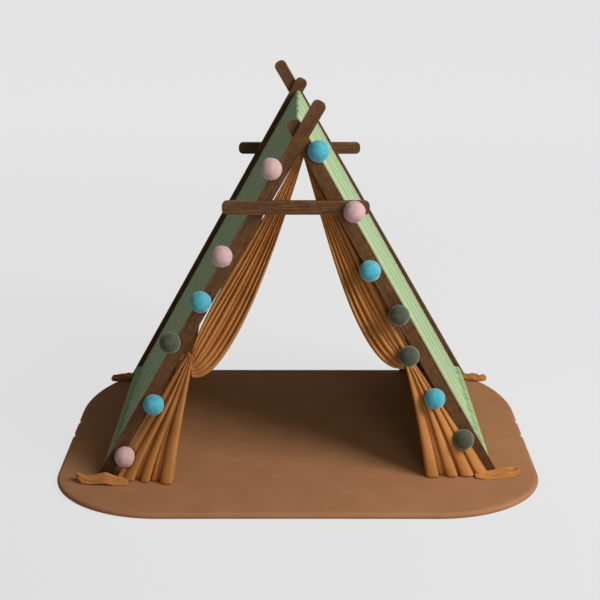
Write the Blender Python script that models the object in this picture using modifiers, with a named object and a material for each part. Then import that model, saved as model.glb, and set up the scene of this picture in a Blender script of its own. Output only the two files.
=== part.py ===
# A-frame play tent: two crossed-batten frames, a ridge pole, a striped cover,
# four gathered curtains, felt balls and a padded mat.
# Metres, +Z up. The origin is on the floor, midway between the four feet,
# with the dressed front of the tent facing -Y.

import math

import bmesh
import bpy
from mathutils import Matrix, Vector
from mathutils.geometry import interpolate_bezier

# Room left between pieces that touch
FIT = 0.0003

# Battens
BATTEN_WIDTH = 0.044
BATTEN_THICKNESS = 0.018
BATTEN_CORNER = 0.017
BATTEN_EDGE = 0.0015

# Frames
STANCE = 0.660            # from the middle to a foot, sideways
CROSSING_HEIGHT = 1.185
CROSSING_SHIFT = 0.009    # the crossing leans to the right of the front frame
FRAME_GAP = 0.822         # clear depth between the two frames
OUTER_OVERRUN = 0.132     # outer leg above the crossing
INNER_OVERRUN = 0.060     # inner leg above the crossing

# Crossbars
CROSSBAR_LENGTH = 0.470
CROSSBAR_SHIFT = -0.0055  # the bar sits a little to the left on the front frame
CROSSBAR_DROP = 0.220     # below the crossing
SPACER_WIDTH = 0.036
SPACER_HEIGHT = 0.030

# Ridge pole and the rails in the hems
RIDGE_RADIUS = 0.0065
RIDGE_SOCKET = 0.010      # how far the pole enters each outer leg
RAIL_RADIUS = 0.008
RAIL_HEIGHT = 0.050
RAIL_SETBACK = 0.0085     # outwards from the middle line of the leg
RAIL_SOCKET = 0.008

# Screws that hold the crossbars, driven from inside the tent
SCREW_RADIUS = 0.0021
SCREW_HEAD_RADIUS = 0.0042
SCREW_HEAD_DEPTH = 0.0026
SCREW_BITE = 0.012        # into the crossbar
SCREW_SPACING = 0.014
SCREW_SIDES = 12

# Mat
MAT_THICKNESS = 0.022
MAT_SIDE_MARGIN = 0.165   # outside a foot
MAT_FRONT_MARGIN = 0.320  # in front of the front frame
MAT_REAR_MARGIN = 0.094
MAT_FRONT_CORNER = (0.370, 0.300)   # reach of the round corners along X and Y
MAT_REAR_CORNER = (0.310, 0.420)
MAT_RIM = 0.0095
MAT_NOTCHES = (-0.007, -0.125)      # where the sides are drawn in, along Y
MAT_NOTCH_DEPTH = 0.010
MAT_NOTCH_WIDTH = 0.045

# Cover
COVER_THICKNESS = 0.0020
STITCH_ABOVE_RAIL = 0.038       # where the hem pocket is sewn
STITCH_INSET = 0.0267           # sideways from the rail towards the tent
POCKET_SLACK = 0.0012           # cloth outside the rail
POCKET_DROP = 0.0220            # how far the pocket hangs below the rail's middle
POCKET_TOE = 0.006              # radius of the fold at the pocket's bottom
POCKET_TOE_SHIFT = 0.008        # outwards from the rail
SHOULDER_RADIUS = 0.010         # the pocket stands proud of the slope under its stitch
SHOULDER_REACH = 0.012

# Loops of tape that carry the curtains on the ridge pole
LOOP_THICKNESS = 0.0010
LOOP_WIDTH = 0.018
LOOP_DROP = 0.034               # from the pole's axis to the tape's end
LOOP_TAIL = 0.004               # half the tape's tail, sideways

# Tabs that hold the curtains to the legs
TAB_LENGTH = 0.052
TAB_HEIGHT = 0.020
TAB_THICKNESS = 0.0022
TAB_GRIP = 0.017                # how much of a tab lies on its leg

# Curtains
SWAG_FOLDS = 7
FAN_FOLDS = 5
POINTS_PER_FOLD = 3
BACK_POINTS = 8
CLOTH_HALF = 0.0040
SWAG_SECTIONS = 15
FAN_SECTIONS = 9
CURTAIN_CLEARANCE = 0.0006
BALL_ROOM_TOP = 0.41            # balls below this share of the rise press into the cloth

# How far outside the leg's back each hem stands, beside the leg and at its free edge
OUTER_FRONT_HEM = (0.052, 0.082)
INNER_FRONT_HEM = (0.042, 0.048)
OUTER_REAR_HEM = (0.023, 0.036)
INNER_REAR_HEM = (0.041, 0.048)
# Each loose corner: how far its middle is past the fan's end and outside the leg's
# back, then its reach along and across
OUTER_FRONT_POOL = (0.053, 0.068, 0.082, 0.050)
INNER_FRONT_POOL = (0.031, 0.042, 0.078, 0.044)
OUTER_REAR_POOL = (0.040, 0.003, 0.060, 0.034)
INNER_REAR_POOL = (0.040, 0.021, 0.060, 0.034)

# Each curtain: free edge and leg edge of the swag as start, two handles and end, then
# both edges of the fan. Every pair is (share of the stance, share of the rise), counted
# from the middle and from the mat. The last point of fan_leg is in "front" and "rear",
# with the loose corner, which is turned by pool_turn degrees.
CURTAINS = {
    "outer": dict(
        swag_free=((-0.015, 0.960), (0.129, 0.660), (0.336, 0.284), (0.533, 0.303)),
        swag_leg=((0.009, 0.966), (0.148, 0.772), (0.488, 0.463), (0.535, 0.370)),
        fan_free=((0.530, 0.366), (0.545, 0.282), (0.598, 0.192), (0.633, -0.002)),
        fan_leg=((0.548, 0.378), (0.629, 0.312), (0.826, 0.123)),
        front=dict(fan_end=(0.927, -0.002), hem_out=OUTER_FRONT_HEM,
                   pool=OUTER_FRONT_POOL, pool_turn=0),
        rear=dict(fan_end=(1.012, -0.002), hem_out=OUTER_REAR_HEM,
                  pool=OUTER_REAR_POOL, pool_turn=22),
    ),
    "inner": dict(
        swag_free=((0.018, 0.960), (0.182, 0.635), (0.336, 0.312), (0.536, 0.322)),
        swag_leg=((0.039, 0.966), (0.250, 0.733), (0.533, 0.467), (0.564, 0.372)),
        fan_free=((0.541, 0.351), (0.564, 0.282), (0.614, 0.205), (0.662, -0.002)),
        fan_leg=((0.567, 0.359), (0.667, 0.282), (0.818, 0.153)),
        front=dict(fan_end=(0.992, -0.002), hem_out=INNER_FRONT_HEM,
                   pool=INNER_FRONT_POOL, pool_turn=0),
        rear=dict(fan_end=(1.012, -0.002), hem_out=INNER_REAR_HEM,
                  pool=INNER_REAR_POOL, pool_turn=22),
    ),
}
SWAG_BEHIND = 0.024             # the swag hangs this far behind the leg's back
SWAG_GATHER = (0.60, 0.92)      # shares of its length where it comes beside the leg
SWAG_FOLD_DEPTH = 0.0075
SWAG_END_DEPTH = 0.35           # folds at both ends, as a share of the deepest
SWAG_ROOM = 0.010               # deeper folds while the cloth is clear of the leg
FAN_FOLD_DEPTH = 0.0150
FAN_TOP_DEPTH = 0.0040
FAN_LEG_EASE = 0.62             # share of the fan's length where each edge leaves the leg
FAN_FREE_EASE = 0.15
LEG_SIDE_DEPTH = 0.35           # folds beside the leg, as a share of the deepest
POOL_HALF = 0.0100
POOL_SINK = 0.6                 # middle above the mat, as a share of POOL_HALF
POOL_LOBES = 5
POOL_RIPPLE = 0.10              # of the reach, sideways
POOL_RISE = 0.30                # of POOL_HALF, upwards

# Felt balls on the front
BALL_RADIUS = 0.036
BALL_SEAT = 0.028               # from a ball's middle to its glued flat
# (leg that carries it, height of its middle as a share of the rise, sideways from the
# leg's middle line towards the inside of the tent, felt)
BALLS = (
    ("outer", 0.922, -0.040, "pink"),
    ("outer", 0.676, -0.036, "pink"),
    ("outer", 0.543, -0.018, "blue"),
    ("outer", 0.421, -0.041, "olive"),
    ("outer", 0.231, 0.024, "blue"),
    ("outer", 0.066, 0.030, "pink"),
    ("inner", 0.967, -0.036, "blue"),
    ("inner", 0.629, 0.016, "blue"),
    ("inner", 0.498, 0.0035, "olive"),
    ("inner", 0.375, 0.047, "olive"),
    ("inner", 0.2435, 0.042, "blue"),
    ("inner", 0.114, 0.023, "olive"),
)
CROSSBAR_BALL = ("pink", 0.050, -0.005)     # felt, in from the bar's end, above its middle

# Values that follow from the sizes above
FOOT_HEIGHT = MAT_THICKNESS + FIT
RISE = CROSSING_HEIGHT - MAT_THICKNESS
CROSSBAR_HEIGHT = CROSSING_HEIGHT - CROSSBAR_DROP
MAT_SIDE = STANCE + MAT_SIDE_MARGIN
MAT_FRONT = FRAME_GAP / 2 + MAT_FRONT_MARGIN
MAT_REAR = FRAME_GAP / 2 + MAT_REAR_MARGIN
OUTER_LEAN = math.atan((STANCE + CROSSING_SHIFT) / RISE)
INNER_LEAN = math.atan((STANCE - CROSSING_SHIFT) / RISE)
INNER_BACK = FRAME_GAP / 2
OUTER_BACK = INNER_BACK + BATTEN_THICKNESS + FIT
BAR_BACK = OUTER_BACK + BATTEN_THICKNESS + FIT
LOOP_RADIUS = RIDGE_RADIUS + FIT + LOOP_THICKNESS
COVER_INNER_RADIUS = LOOP_RADIUS + FIT
COVER_OUTER_RADIUS = COVER_INNER_RADIUS + COVER_THICKNESS


# Scene, collections and materials

def clear_scene():
    for obj in list(bpy.data.objects):
        bpy.data.objects.remove(obj, do_unlink=True)


def new_collection(name):
    collection = bpy.data.collections.new(name)
    bpy.context.scene.collection.children.link(collection)
    return collection


def material(name, colour, roughness, metallic=0.0):
    mat = bpy.data.materials.new(name)
    mat.use_nodes = True
    shader = mat.node_tree.nodes["Principled BSDF"]
    shader.inputs["Base Color"].default_value = (*colour, 1.0)
    shader.inputs["Roughness"].default_value = roughness
    shader.inputs["Metallic"].default_value = metallic
    return mat


def add_object(name, mesh, collection, mat=None, smooth=None):
    obj = bpy.data.objects.new(name, mesh)
    collection.objects.link(obj)
    if mat is not None:
        mesh.materials.clear()
        mesh.materials.append(mat)
    if smooth is not None:
        mesh.shade_smooth()
        mesh.set_sharp_from_angle(angle=math.radians(smooth))
    return obj


# Outlines and solids

def curve_to_mesh(name, curve, matrix):
    """Turn a filled curve into a welded mesh placed by the matrix."""
    holder = bpy.data.objects.new(name, curve)
    parts.objects.link(holder)
    holder.matrix_world = matrix
    bpy.context.view_layer.update()
    evaluated = holder.evaluated_get(bpy.context.evaluated_depsgraph_get())
    mesh = bpy.data.meshes.new_from_object(evaluated)
    bpy.data.objects.remove(holder, do_unlink=True)
    bpy.data.curves.remove(curve)
    shape = bmesh.new()
    shape.from_mesh(mesh)
    bmesh.ops.remove_doubles(shape, verts=shape.verts, dist=0.00002)
    bmesh.ops.recalc_face_normals(shape, faces=shape.faces)
    shape.to_mesh(mesh)
    shape.free()
    return mesh


def outline_solid(name, outlines, thickness, matrix, rim=0.0, rim_steps=2):
    """Extrude flat outlines, with holes as further outlines, along their own Z."""
    curve = bpy.data.curves.new(name, "CURVE")
    curve.dimensions = "2D"
    curve.fill_mode = "BOTH"
    curve.extrude = thickness / 2 - rim
    curve.bevel_depth = rim
    curve.bevel_resolution = rim_steps
    curve.offset = -rim
    for points in outlines:
        spline = curve.splines.new("POLY")
        spline.points.add(len(points) - 1)
        for point, (x, y) in zip(spline.points, points):
            point.co = (x, y, 0.0, 1.0)
        spline.use_cyclic_u = True
    mesh = curve_to_mesh(name, curve, matrix)
    mesh.transform(matrix)
    return mesh


def arc(centre, radius, start, end, steps):
    """Points on an arc, both ends included. Angles in degrees."""
    points = []
    for step in range(steps + 1):
        angle = math.radians(start + (end - start) * step / steps)
        points.append((centre[0] + radius * math.cos(angle),
                       centre[1] + radius * math.sin(angle)))
    return points


def upright(location, lean=0.0):
    """Stand a flat outline up, facing the front, and lean it to the right."""
    turn = Matrix.Rotation(lean, 4, "Y") @ Matrix.Rotation(math.pi / 2, 4, "X")
    return Matrix.Translation(location) @ turn


def cylinder(name, radius, length, sides, matrix, collection, mat=None):
    shape = bmesh.new()
    bmesh.ops.create_cone(shape, cap_ends=True, segments=sides, radius1=radius,
                          radius2=radius, depth=length)
    mesh = bpy.data.meshes.new(name)
    shape.to_mesh(mesh)
    shape.free()
    obj = add_object(name, mesh, collection, mat, smooth=40)
    obj.matrix_world = matrix
    return obj


def box(name, size, matrix, collection, mat=None):
    shape = bmesh.new()
    bmesh.ops.create_cube(shape, size=1.0)
    bmesh.ops.scale(shape, vec=size, verts=shape.verts)
    mesh = bpy.data.meshes.new(name)
    shape.to_mesh(mesh)
    shape.free()
    obj = add_object(name, mesh, collection, mat)
    obj.matrix_world = matrix
    return obj


def hide_cutter(obj):
    obj.hide_render = True
    obj.display_type = "WIRE"
    return obj


def boolean(obj, other, operation="DIFFERENCE", solver="EXACT"):
    modifier = obj.modifiers.new(operation.title() + " " + other.name, "BOOLEAN")
    modifier.operation = operation
    modifier.solver = solver
    modifier.object = other


def half_turn(name, source):
    """The rear pieces are the front ones turned half way round the middle."""
    obj = bpy.data.objects.new(name, source.data)
    parts.objects.link(obj)
    obj.matrix_world = Matrix.Rotation(math.pi, 4, "Z") @ source.matrix_world
    return obj


def along_y(x, y, z):
    return Matrix.Translation((x, y, z)) @ Matrix.Rotation(math.pi / 2, 4, "X")


# Frame

def leg_line(kind, height):
    """Sideways place of the middle line of a front leg at a height."""
    drop = CROSSING_HEIGHT - height
    if kind == "outer":
        return CROSSING_SHIFT - drop * math.tan(OUTER_LEAN)
    return CROSSING_SHIFT + drop * math.tan(INNER_LEAN)


def leg_outline(lean, overrun):
    """Flat outline of a leg about the crossing, foot cut level with the floor."""
    half = BATTEN_WIDTH / 2
    drop = FOOT_HEIGHT - CROSSING_HEIGHT
    left_foot = (-half, (drop - half * math.sin(lean)) / math.cos(lean))
    right_foot = (half, (drop + half * math.sin(lean)) / math.cos(lean))
    corner = half - BATTEN_CORNER
    top = overrun - BATTEN_CORNER
    right_corner = arc((corner, top), BATTEN_CORNER, 0, 90, 5)
    left_corner = arc((-corner, top), BATTEN_CORNER, 90, 180, 5)
    return [left_foot, right_foot] + right_corner + left_corner


def bar_outline(length, width):
    half = width / 2
    reach = length / 2 - BATTEN_CORNER
    corner = half - BATTEN_CORNER
    points = []
    for x, y, start in ((reach, corner, 0), (-reach, corner, 90),
                        (-reach, -corner, 180), (reach, -corner, 270)):
        points += arc((x, y), BATTEN_CORNER, start, start + 90, 5)
    return points


def soften_edges(obj):
    bevel = obj.modifiers.new("Rounded edges", "BEVEL")
    bevel.width = BATTEN_EDGE
    bevel.segments = 1
    bevel.limit_method = "ANGLE"
    bevel.angle_limit = math.radians(50)


def make_leg(name, kind):
    lean = OUTER_LEAN if kind == "outer" else -INNER_LEAN
    overrun = OUTER_OVERRUN if kind == "outer" else INNER_OVERRUN
    back = OUTER_BACK if kind == "outer" else INNER_BACK
    place = upright((CROSSING_SHIFT, -back - BATTEN_THICKNESS / 2, CROSSING_HEIGHT), lean)
    mesh = outline_solid(name, [leg_outline(lean, overrun)], BATTEN_THICKNESS, Matrix())
    leg = add_object(name, mesh, parts, walnut)
    leg.matrix_world = place
    soften_edges(leg)
    return leg


def make_crossbar(name):
    mesh = outline_solid(name, [bar_outline(CROSSBAR_LENGTH, BATTEN_WIDTH)],
                         BATTEN_THICKNESS, Matrix())
    bar = add_object(name, mesh, parts, walnut)
    bar.matrix_world = upright((CROSSBAR_SHIFT, -BAR_BACK - BATTEN_THICKNESS / 2,
                                CROSSBAR_HEIGHT))
    soften_edges(bar)
    return bar


def make_spacer(name):
    """Packing block that fills the step between the crossbar and the inner leg."""
    place = Matrix.Translation((leg_line("inner", CROSSBAR_HEIGHT),
                                -OUTER_BACK - BATTEN_THICKNESS / 2, CROSSBAR_HEIGHT))
    size = Vector((SPACER_WIDTH, BATTEN_THICKNESS, SPACER_HEIGHT))
    spacer = box(name, size, place, parts, walnut)
    soften_edges(spacer)
    return spacer


def screw_mesh(name, length, grow=0.0):
    """Countersunk screw along +Y from its flat head, as a turned profile."""
    profile = [
        (0.0, 0.0), (SCREW_HEAD_RADIUS + grow, 0.0),
        (SCREW_RADIUS + grow, SCREW_HEAD_DEPTH + grow),
        (SCREW_RADIUS + grow, length + grow), (0.0, length + grow),
    ]
    shape = bmesh.new()
    verts = [shape.verts.new((radius, depth, 0.0)) for radius, depth in profile]
    edges = [shape.edges.new(pair) for pair in zip(verts, verts[1:])]
    bmesh.ops.spin(shape, geom=verts + edges, cent=(0, 0, 0), axis=(0, 1, 0),
                   angle=2 * math.pi, steps=SCREW_SIDES)
    bmesh.ops.remove_doubles(shape, verts=shape.verts, dist=0.00001)
    bmesh.ops.recalc_face_normals(shape, faces=shape.faces)
    mesh = bpy.data.meshes.new(name)
    shape.to_mesh(mesh)
    shape.free()
    return mesh


def screw_places():
    """(place of the head, length) of the four screws of the front crossbar."""
    outer_length = BATTEN_THICKNESS + FIT + SCREW_BITE
    inner_length = outer_length + BATTEN_THICKNESS + FIT
    for side in (-1, 1):
        height = CROSSBAR_HEIGHT + side * SCREW_SPACING / 2
        yield (leg_line("outer", height), -OUTER_BACK, height), outer_length
        yield (leg_line("inner", height), -INNER_BACK, height), inner_length


def make_screws():
    """Four screws hold each crossbar."""
    turn = Matrix.Rotation(math.pi, 4, "Z")
    screws = []
    for number, (place, length) in enumerate(screw_places(), start=1):
        name = f"front_crossbar_screw_{number}"
        screw = add_object(name, screw_mesh(name, length), parts, steel, smooth=40)
        screw.matrix_world = Matrix.Translation(place) @ turn
        screws.append(screw)
    return screws


def make_screw_cutters(name):
    """Clearance holes for one frame's screws. The heads' cutters stand proud."""
    found = []
    turn = Matrix.Rotation(math.pi, 4, "Z")
    for number, (place, length) in enumerate(screw_places()):
        mesh = screw_mesh(f"{name}_{number}", length, FIT)
        cutter = add_object(f"{name}_{number}", mesh, cutters)
        x, y, z = place
        cutter.matrix_world = Matrix.Translation((x, y + FIT, z)) @ turn
        found.append(hide_cutter(cutter))
    return found


def make_frame():
    """Front frame, then the rear one as its half turn."""
    outer = make_leg("front_outer_leg", "outer")
    inner = make_leg("front_inner_leg", "inner")
    bar = make_crossbar("front_crossbar")
    spacer = make_spacer("front_crossbar_spacer")
    screws = make_screws()
    front = [outer, inner, bar, spacer]

    pole_reach = OUTER_BACK + RIDGE_SOCKET + FIT
    pole_hole = cylinder("ridge_hole", RIDGE_RADIUS + FIT, 2 * pole_reach, 20,
                         along_y(0, 0, CROSSING_HEIGHT), cutters)
    hide_cutter(pole_hole)
    for leg in (outer, inner):
        boolean(leg, pole_hole)
    for kind, leg, side in (("outer", outer, -1), ("inner", inner, 1)):
        back = OUTER_BACK if kind == "outer" else INNER_BACK
        reach = back + RAIL_SOCKET + FIT
        x = side * rail_distance()
        hole = cylinder(f"rail_hole_{kind}", RAIL_RADIUS + FIT, reach, 16,
                        along_y(x, -reach / 2, RAIL_HEIGHT), cutters)
        boolean(leg, hide_cutter(hole))
    for cutter in make_screw_cutters("front_screw_hole"):
        for piece in front:
            boolean(piece, cutter)
    bpy.context.view_layer.update()

    for piece in front:
        bake(piece)
    for piece in front + screws:
        half_turn(piece.name.replace("front", "rear"), piece)


def bake(obj):
    """Keep the evaluated shape, so that the rear copy can share it."""
    evaluated = obj.evaluated_get(bpy.context.evaluated_depsgraph_get())
    mesh = bpy.data.meshes.new_from_object(evaluated)
    obj.modifiers.clear()
    obj.data = mesh
    mesh.shade_smooth()
    mesh.set_sharp_from_angle(angle=math.radians(35))


def rail_distance():
    """Sideways place of a hem rail, set back outwards from the legs' middle line."""
    return -leg_line("outer", RAIL_HEIGHT) + RAIL_SETBACK / math.cos(OUTER_LEAN)


def make_ridge_and_rails():
    pole_reach = OUTER_BACK + RIDGE_SOCKET
    cylinder("ridge_pole", RIDGE_RADIUS, 2 * pole_reach, 20,
             along_y(0, 0, CROSSING_HEIGHT), parts, walnut)
    for side, name in ((-1, "left_hem_rail"), (1, "right_hem_rail")):
        front = OUTER_BACK if side < 0 else INNER_BACK
        rear = INNER_BACK if side < 0 else OUTER_BACK
        length = front + rear + 2 * RAIL_SOCKET
        cylinder(name, RAIL_RADIUS, length, 16,
                 along_y(side * rail_distance(), (rear - front) / 2, RAIL_HEIGHT),
                 parts, walnut)


# Cover and tapes

def cover_lean():
    """Lean of the cover's outer face, tangent to the ridge and through the stitch line."""
    drop = CROSSING_HEIGHT - RAIL_HEIGHT - STITCH_ABOVE_RAIL
    stitch_x = rail_distance() - STITCH_INSET
    reach = math.hypot(stitch_x, drop)
    return math.atan2(stitch_x, drop) - math.asin(COVER_OUTER_RADIUS / reach)


def face_point(radius, lean, height):
    """Point on a face that leans away from the ridge at this distance from it."""
    drop = CROSSING_HEIGHT - height
    return (radius / math.cos(lean) + drop * math.tan(lean), height)


def cover_outline():
    """Section of the cover: one face of cloth from hem pocket to hem pocket."""
    lean = cover_lean()
    rail_x = rail_distance()
    wrap = RAIL_RADIUS + FIT + POCKET_SLACK + COVER_THICKNESS
    stitch_height = RAIL_HEIGHT + STITCH_ABOVE_RAIL
    outer = face_point(COVER_OUTER_RADIUS, lean, stitch_height)
    inner = face_point(COVER_INNER_RADIUS, lean, stitch_height)
    shoulder = arc((outer[0] + SHOULDER_REACH, outer[1] - SHOULDER_RADIUS),
                   SHOULDER_RADIUS, 110, 20, 4)
    belly = arc((rail_x, RAIL_HEIGHT), wrap, 20, -20, 3)
    low = RAIL_HEIGHT - POCKET_DROP
    toe = arc((rail_x + POCKET_TOE_SHIFT, low + POCKET_TOE), POCKET_TOE, -30, -150, 4)
    back = arc((rail_x, RAIL_HEIGHT), wrap, 215, 150, 4)
    right = [outer] + shoulder + belly + toe + back + [inner]
    left = [(-x, z) for x, z in reversed(right)]
    tilt = math.degrees(lean)
    ridge_over = arc((0, CROSSING_HEIGHT), COVER_OUTER_RADIUS, 180 - tilt, tilt, 8)
    ridge_under = arc((0, CROSSING_HEIGHT), COVER_INNER_RADIUS, tilt, 180 - tilt, 8)
    return ridge_over + right + ridge_under + left


def make_cover():
    rail_x = rail_distance()
    hole = RAIL_RADIUS + FIT
    holes = [arc((side * rail_x, RAIL_HEIGHT), hole, 0, 345, 15) for side in (-1, 1)]
    mesh = outline_solid("cover", [cover_outline()] + holes,
                         FRAME_GAP - 2 * FIT, upright((0, 0, 0)))
    add_object("cover", mesh, parts, striped_cloth, smooth=30)


def make_curtain_loops():
    """A loop of tape round the ridge pole, with a tail that the curtains hang from."""
    outer = arc((0, CROSSING_HEIGHT), LOOP_RADIUS, 240, -60, 14)
    tail = [(LOOP_TAIL, CROSSING_HEIGHT - LOOP_DROP), (-LOOP_TAIL, CROSSING_HEIGHT - LOOP_DROP)]
    hole = arc((0, CROSSING_HEIGHT), RIDGE_RADIUS + FIT, 0, 342, 19)
    for side, name in ((-1, "front_curtain_loop"), (1, "rear_curtain_loop")):
        y = side * (INNER_BACK - SWAG_BEHIND)
        mesh = outline_solid(name, [outer + tail, hole], LOOP_WIDTH, upright((0, y, 0)))
        add_object(name, mesh, parts, ochre_cloth, smooth=40)


# Curtains

def bezier(handles, side, steps):
    """Points on an edge of a curtain, from its handles as shares of the frame."""
    points = []
    for x, z in handles:
        points.append(Vector((side * x * STANCE, 0.0, MAT_THICKNESS + z * RISE)))
    return interpolate_bezier(*points, steps)


def scallop(share, folds):
    """Rounded folds side by side: 0 in each valley, 1 on each crest."""
    return abs(math.sin(math.pi * folds * share))


def curtain_section(leg_end, free_end, folds, depth, half):
    """Closed loop round a strip of folded cloth: folds in front, plain behind."""
    loop = []
    steps = folds * POINTS_PER_FOLD
    for step in range(steps + 1):
        share = step / steps
        point = leg_end.lerp(free_end, share)
        swell = depth * (LEG_SIDE_DEPTH + (1 - LEG_SIDE_DEPTH) * share)
        point.y -= half + swell * scallop(share, folds)
        loop.append(point)
    for step in range(BACK_POINTS):
        point = free_end.lerp(leg_end, step / (BACK_POINTS - 1))
        point.y += half
        loop.append(point)
    return loop


def loft(name, loops):
    """Skin a run of closed loops that have the same number of points."""
    shape = bmesh.new()
    rings = [[shape.verts.new(point) for point in loop] for loop in loops]
    count = len(rings[0])
    for ring, following in zip(rings, rings[1:]):
        for i in range(count):
            j = (i + 1) % count
            shape.faces.new((ring[i], ring[j], following[j], following[i]))
    shape.faces.new(rings[0])
    shape.faces.new(rings[-1])
    bmesh.ops.recalc_face_normals(shape, faces=shape.faces)
    mesh = bpy.data.meshes.new(name)
    shape.to_mesh(mesh)
    shape.free()
    return mesh


def ease(value, start, end):
    share = min(max((value - start) / (end - start), 0.0), 1.0)
    return share * share * (3 - 2 * share)


def swag_mesh(name, side, sizes, back):
    """The gathered upper part, from the loop on the pole to the tab on the leg."""
    leg_edge = bezier(sizes["swag_leg"], side, SWAG_SECTIONS)
    free_edge = bezier(sizes["swag_free"], side, SWAG_SECTIONS)
    beside_leg = BATTEN_THICKNESS / 2
    loops = []
    for number, (leg_end, free_end) in enumerate(zip(leg_edge, free_edge)):
        share = number / (SWAG_SECTIONS - 1)
        forward = ease(share, *SWAG_GATHER)
        middle = -back + SWAG_BEHIND * (1 - forward) - beside_leg * forward
        swell = math.sin(math.pi * share)
        depth = SWAG_FOLD_DEPTH * (SWAG_END_DEPTH + (1 - SWAG_END_DEPTH) * swell)
        depth = min(depth, beside_leg - CLOTH_HALF + SWAG_ROOM * (1 - forward))
        leg_end.y = middle
        free_end.y = middle
        loops.append(curtain_section(leg_end, free_end, SWAG_FOLDS, depth, CLOTH_HALF))
    return loft(name, loops)


def fan_mesh(name, side, sizes, place, back):
    """The lower part, which spreads from the tab to the mat outside the foot."""
    leg_out, free_out = place["hem_out"]
    leg_edge = bezier(sizes["fan_leg"] + (place["fan_end"],), side, FAN_SECTIONS)
    free_edge = bezier(sizes["fan_free"], side, FAN_SECTIONS)
    beside_leg = BATTEN_THICKNESS / 2
    loops = []
    for number, (leg_end, free_end) in enumerate(zip(leg_edge, free_edge)):
        share = number / (FAN_SECTIONS - 1)
        leg_share = ease(share, FAN_LEG_EASE, 1.0)
        free_share = ease(share, FAN_FREE_EASE, 1.0)
        leg_end.y = -back - beside_leg - (leg_out - beside_leg) * leg_share
        free_end.y = -back - beside_leg - (free_out - beside_leg) * free_share
        depth = FAN_TOP_DEPTH + (FAN_FOLD_DEPTH - FAN_TOP_DEPTH) * free_share
        loops.append(curtain_section(leg_end, free_end, FAN_FOLDS, depth, CLOTH_HALF))
    return loft(name, loops)


def pool_mesh(name, side, place, back):
    """The corner of cloth that lies in folds on the mat round the foot."""
    past, out, reach_x, reach_y = place["pool"]
    shape = bmesh.new()
    bmesh.ops.create_uvsphere(shape, u_segments=20, v_segments=8, radius=1.0)
    for vert in shape.verts:
        ripple = math.cos(POOL_LOBES * math.atan2(vert.co.y, vert.co.x))
        vert.co.x *= reach_x * (1 + POOL_RIPPLE * ripple)
        vert.co.y *= reach_y * (1 + POOL_RIPPLE * ripple)
        vert.co.z *= POOL_HALF * (1 + POOL_RISE * ripple)
    x = place["fan_end"][0] * STANCE + past
    middle = Vector((side * x, -back - out, MAT_THICKNESS + POOL_HALF * POOL_SINK))
    turn = side * math.radians(place["pool_turn"])
    shape.transform(Matrix.Translation(middle) @ Matrix.Rotation(turn, 4, "Z"))
    mesh = bpy.data.meshes.new(name)
    shape.to_mesh(mesh)
    shape.free()
    return mesh


def leg_cutter(name, kind):
    """Room for a leg, a little larger than the leg itself."""
    lean = OUTER_LEAN if kind == "outer" else -INNER_LEAN
    back = OUTER_BACK if kind == "outer" else INNER_BACK
    length = RISE / math.cos(lean) + 2 * BATTEN_WIDTH
    size = Vector((BATTEN_WIDTH + 2 * CURTAIN_CLEARANCE, length,
                   BATTEN_THICKNESS + 2 * CURTAIN_CLEARANCE))
    place = upright((CROSSING_SHIFT, -back - BATTEN_THICKNESS / 2, CROSSING_HEIGHT), lean)
    cutter = box(name, size, place @ Matrix.Translation((0, -length / 2, 0)), cutters)
    return hide_cutter(cutter)


def make_curtain(name, kind, side, end, floor):
    """One curtain, made as a front one. A rear one has no balls to press into.

    At some sizes the EXACT solver loses folded cloth, so its cuts use MANIFOLD."""
    sizes = CURTAINS[kind]
    place = sizes[end]
    back = OUTER_BACK if kind == "outer" else INNER_BACK
    curtain = add_object(name, swag_mesh(name, side, sizes, back), parts, ochre_cloth)
    fan = fan_mesh(f"{name}_fan", side, sizes, place, back)
    pool = pool_mesh(f"{name}_pool", side, place, back)
    for mesh in (fan, pool):
        piece = hide_cutter(add_object(mesh.name, mesh, cutters))
        boolean(curtain, piece, "UNION", "MANIFOLD")
    rooms = [leg_cutter(f"{name}_leg_room", kind), floor]
    if end == "front":
        rooms += ball_cutters(kind)
    for cutter in rooms:
        boolean(curtain, cutter, solver="MANIFOLD")
    bpy.context.view_layer.update()
    bake(curtain)
    if end == "rear":
        curtain.matrix_world = Matrix.Rotation(math.pi, 4, "Z") @ curtain.matrix_world


def make_curtains():
    depth = 2 * MAT_FRONT
    floor = box("mat_room", Vector((2 * depth, 2 * depth, depth)),
                Matrix.Translation((0, 0, FOOT_HEIGHT - depth / 2)), cutters)
    hide_cutter(floor)
    make_curtain("front_left_curtain", "outer", -1, "front", floor)
    make_curtain("front_right_curtain", "inner", 1, "front", floor)
    make_curtain("rear_right_curtain", "outer", -1, "rear", floor)
    make_curtain("rear_left_curtain", "inner", 1, "rear", floor)


def make_tabs():
    """Each tab lies on the back of its leg and behind the gathered cloth."""
    for kind, side, front, rear in (("outer", -1, "front_left", "rear_right"),
                                    ("inner", 1, "front_right", "rear_left")):
        sizes = CURTAINS[kind]
        back = OUTER_BACK if kind == "outer" else INNER_BACK
        height = MAT_THICKNESS + sizes["swag_leg"][3][1] * RISE - TAB_HEIGHT / 2
        inner_edge = abs(leg_line(kind, height)) - BATTEN_WIDTH / 2 / math.cos(OUTER_LEAN)
        x = inner_edge + TAB_GRIP - TAB_LENGTH / 2
        place = Matrix.Translation((side * x, -back + FIT + TAB_THICKNESS / 2, height))
        size = Vector((TAB_LENGTH, TAB_THICKNESS, TAB_HEIGHT))
        tab = box(f"{front}_curtain_tab", size, place, parts, ochre_cloth)
        half_turn(f"{rear}_curtain_tab", tab)


# Felt balls

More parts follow.
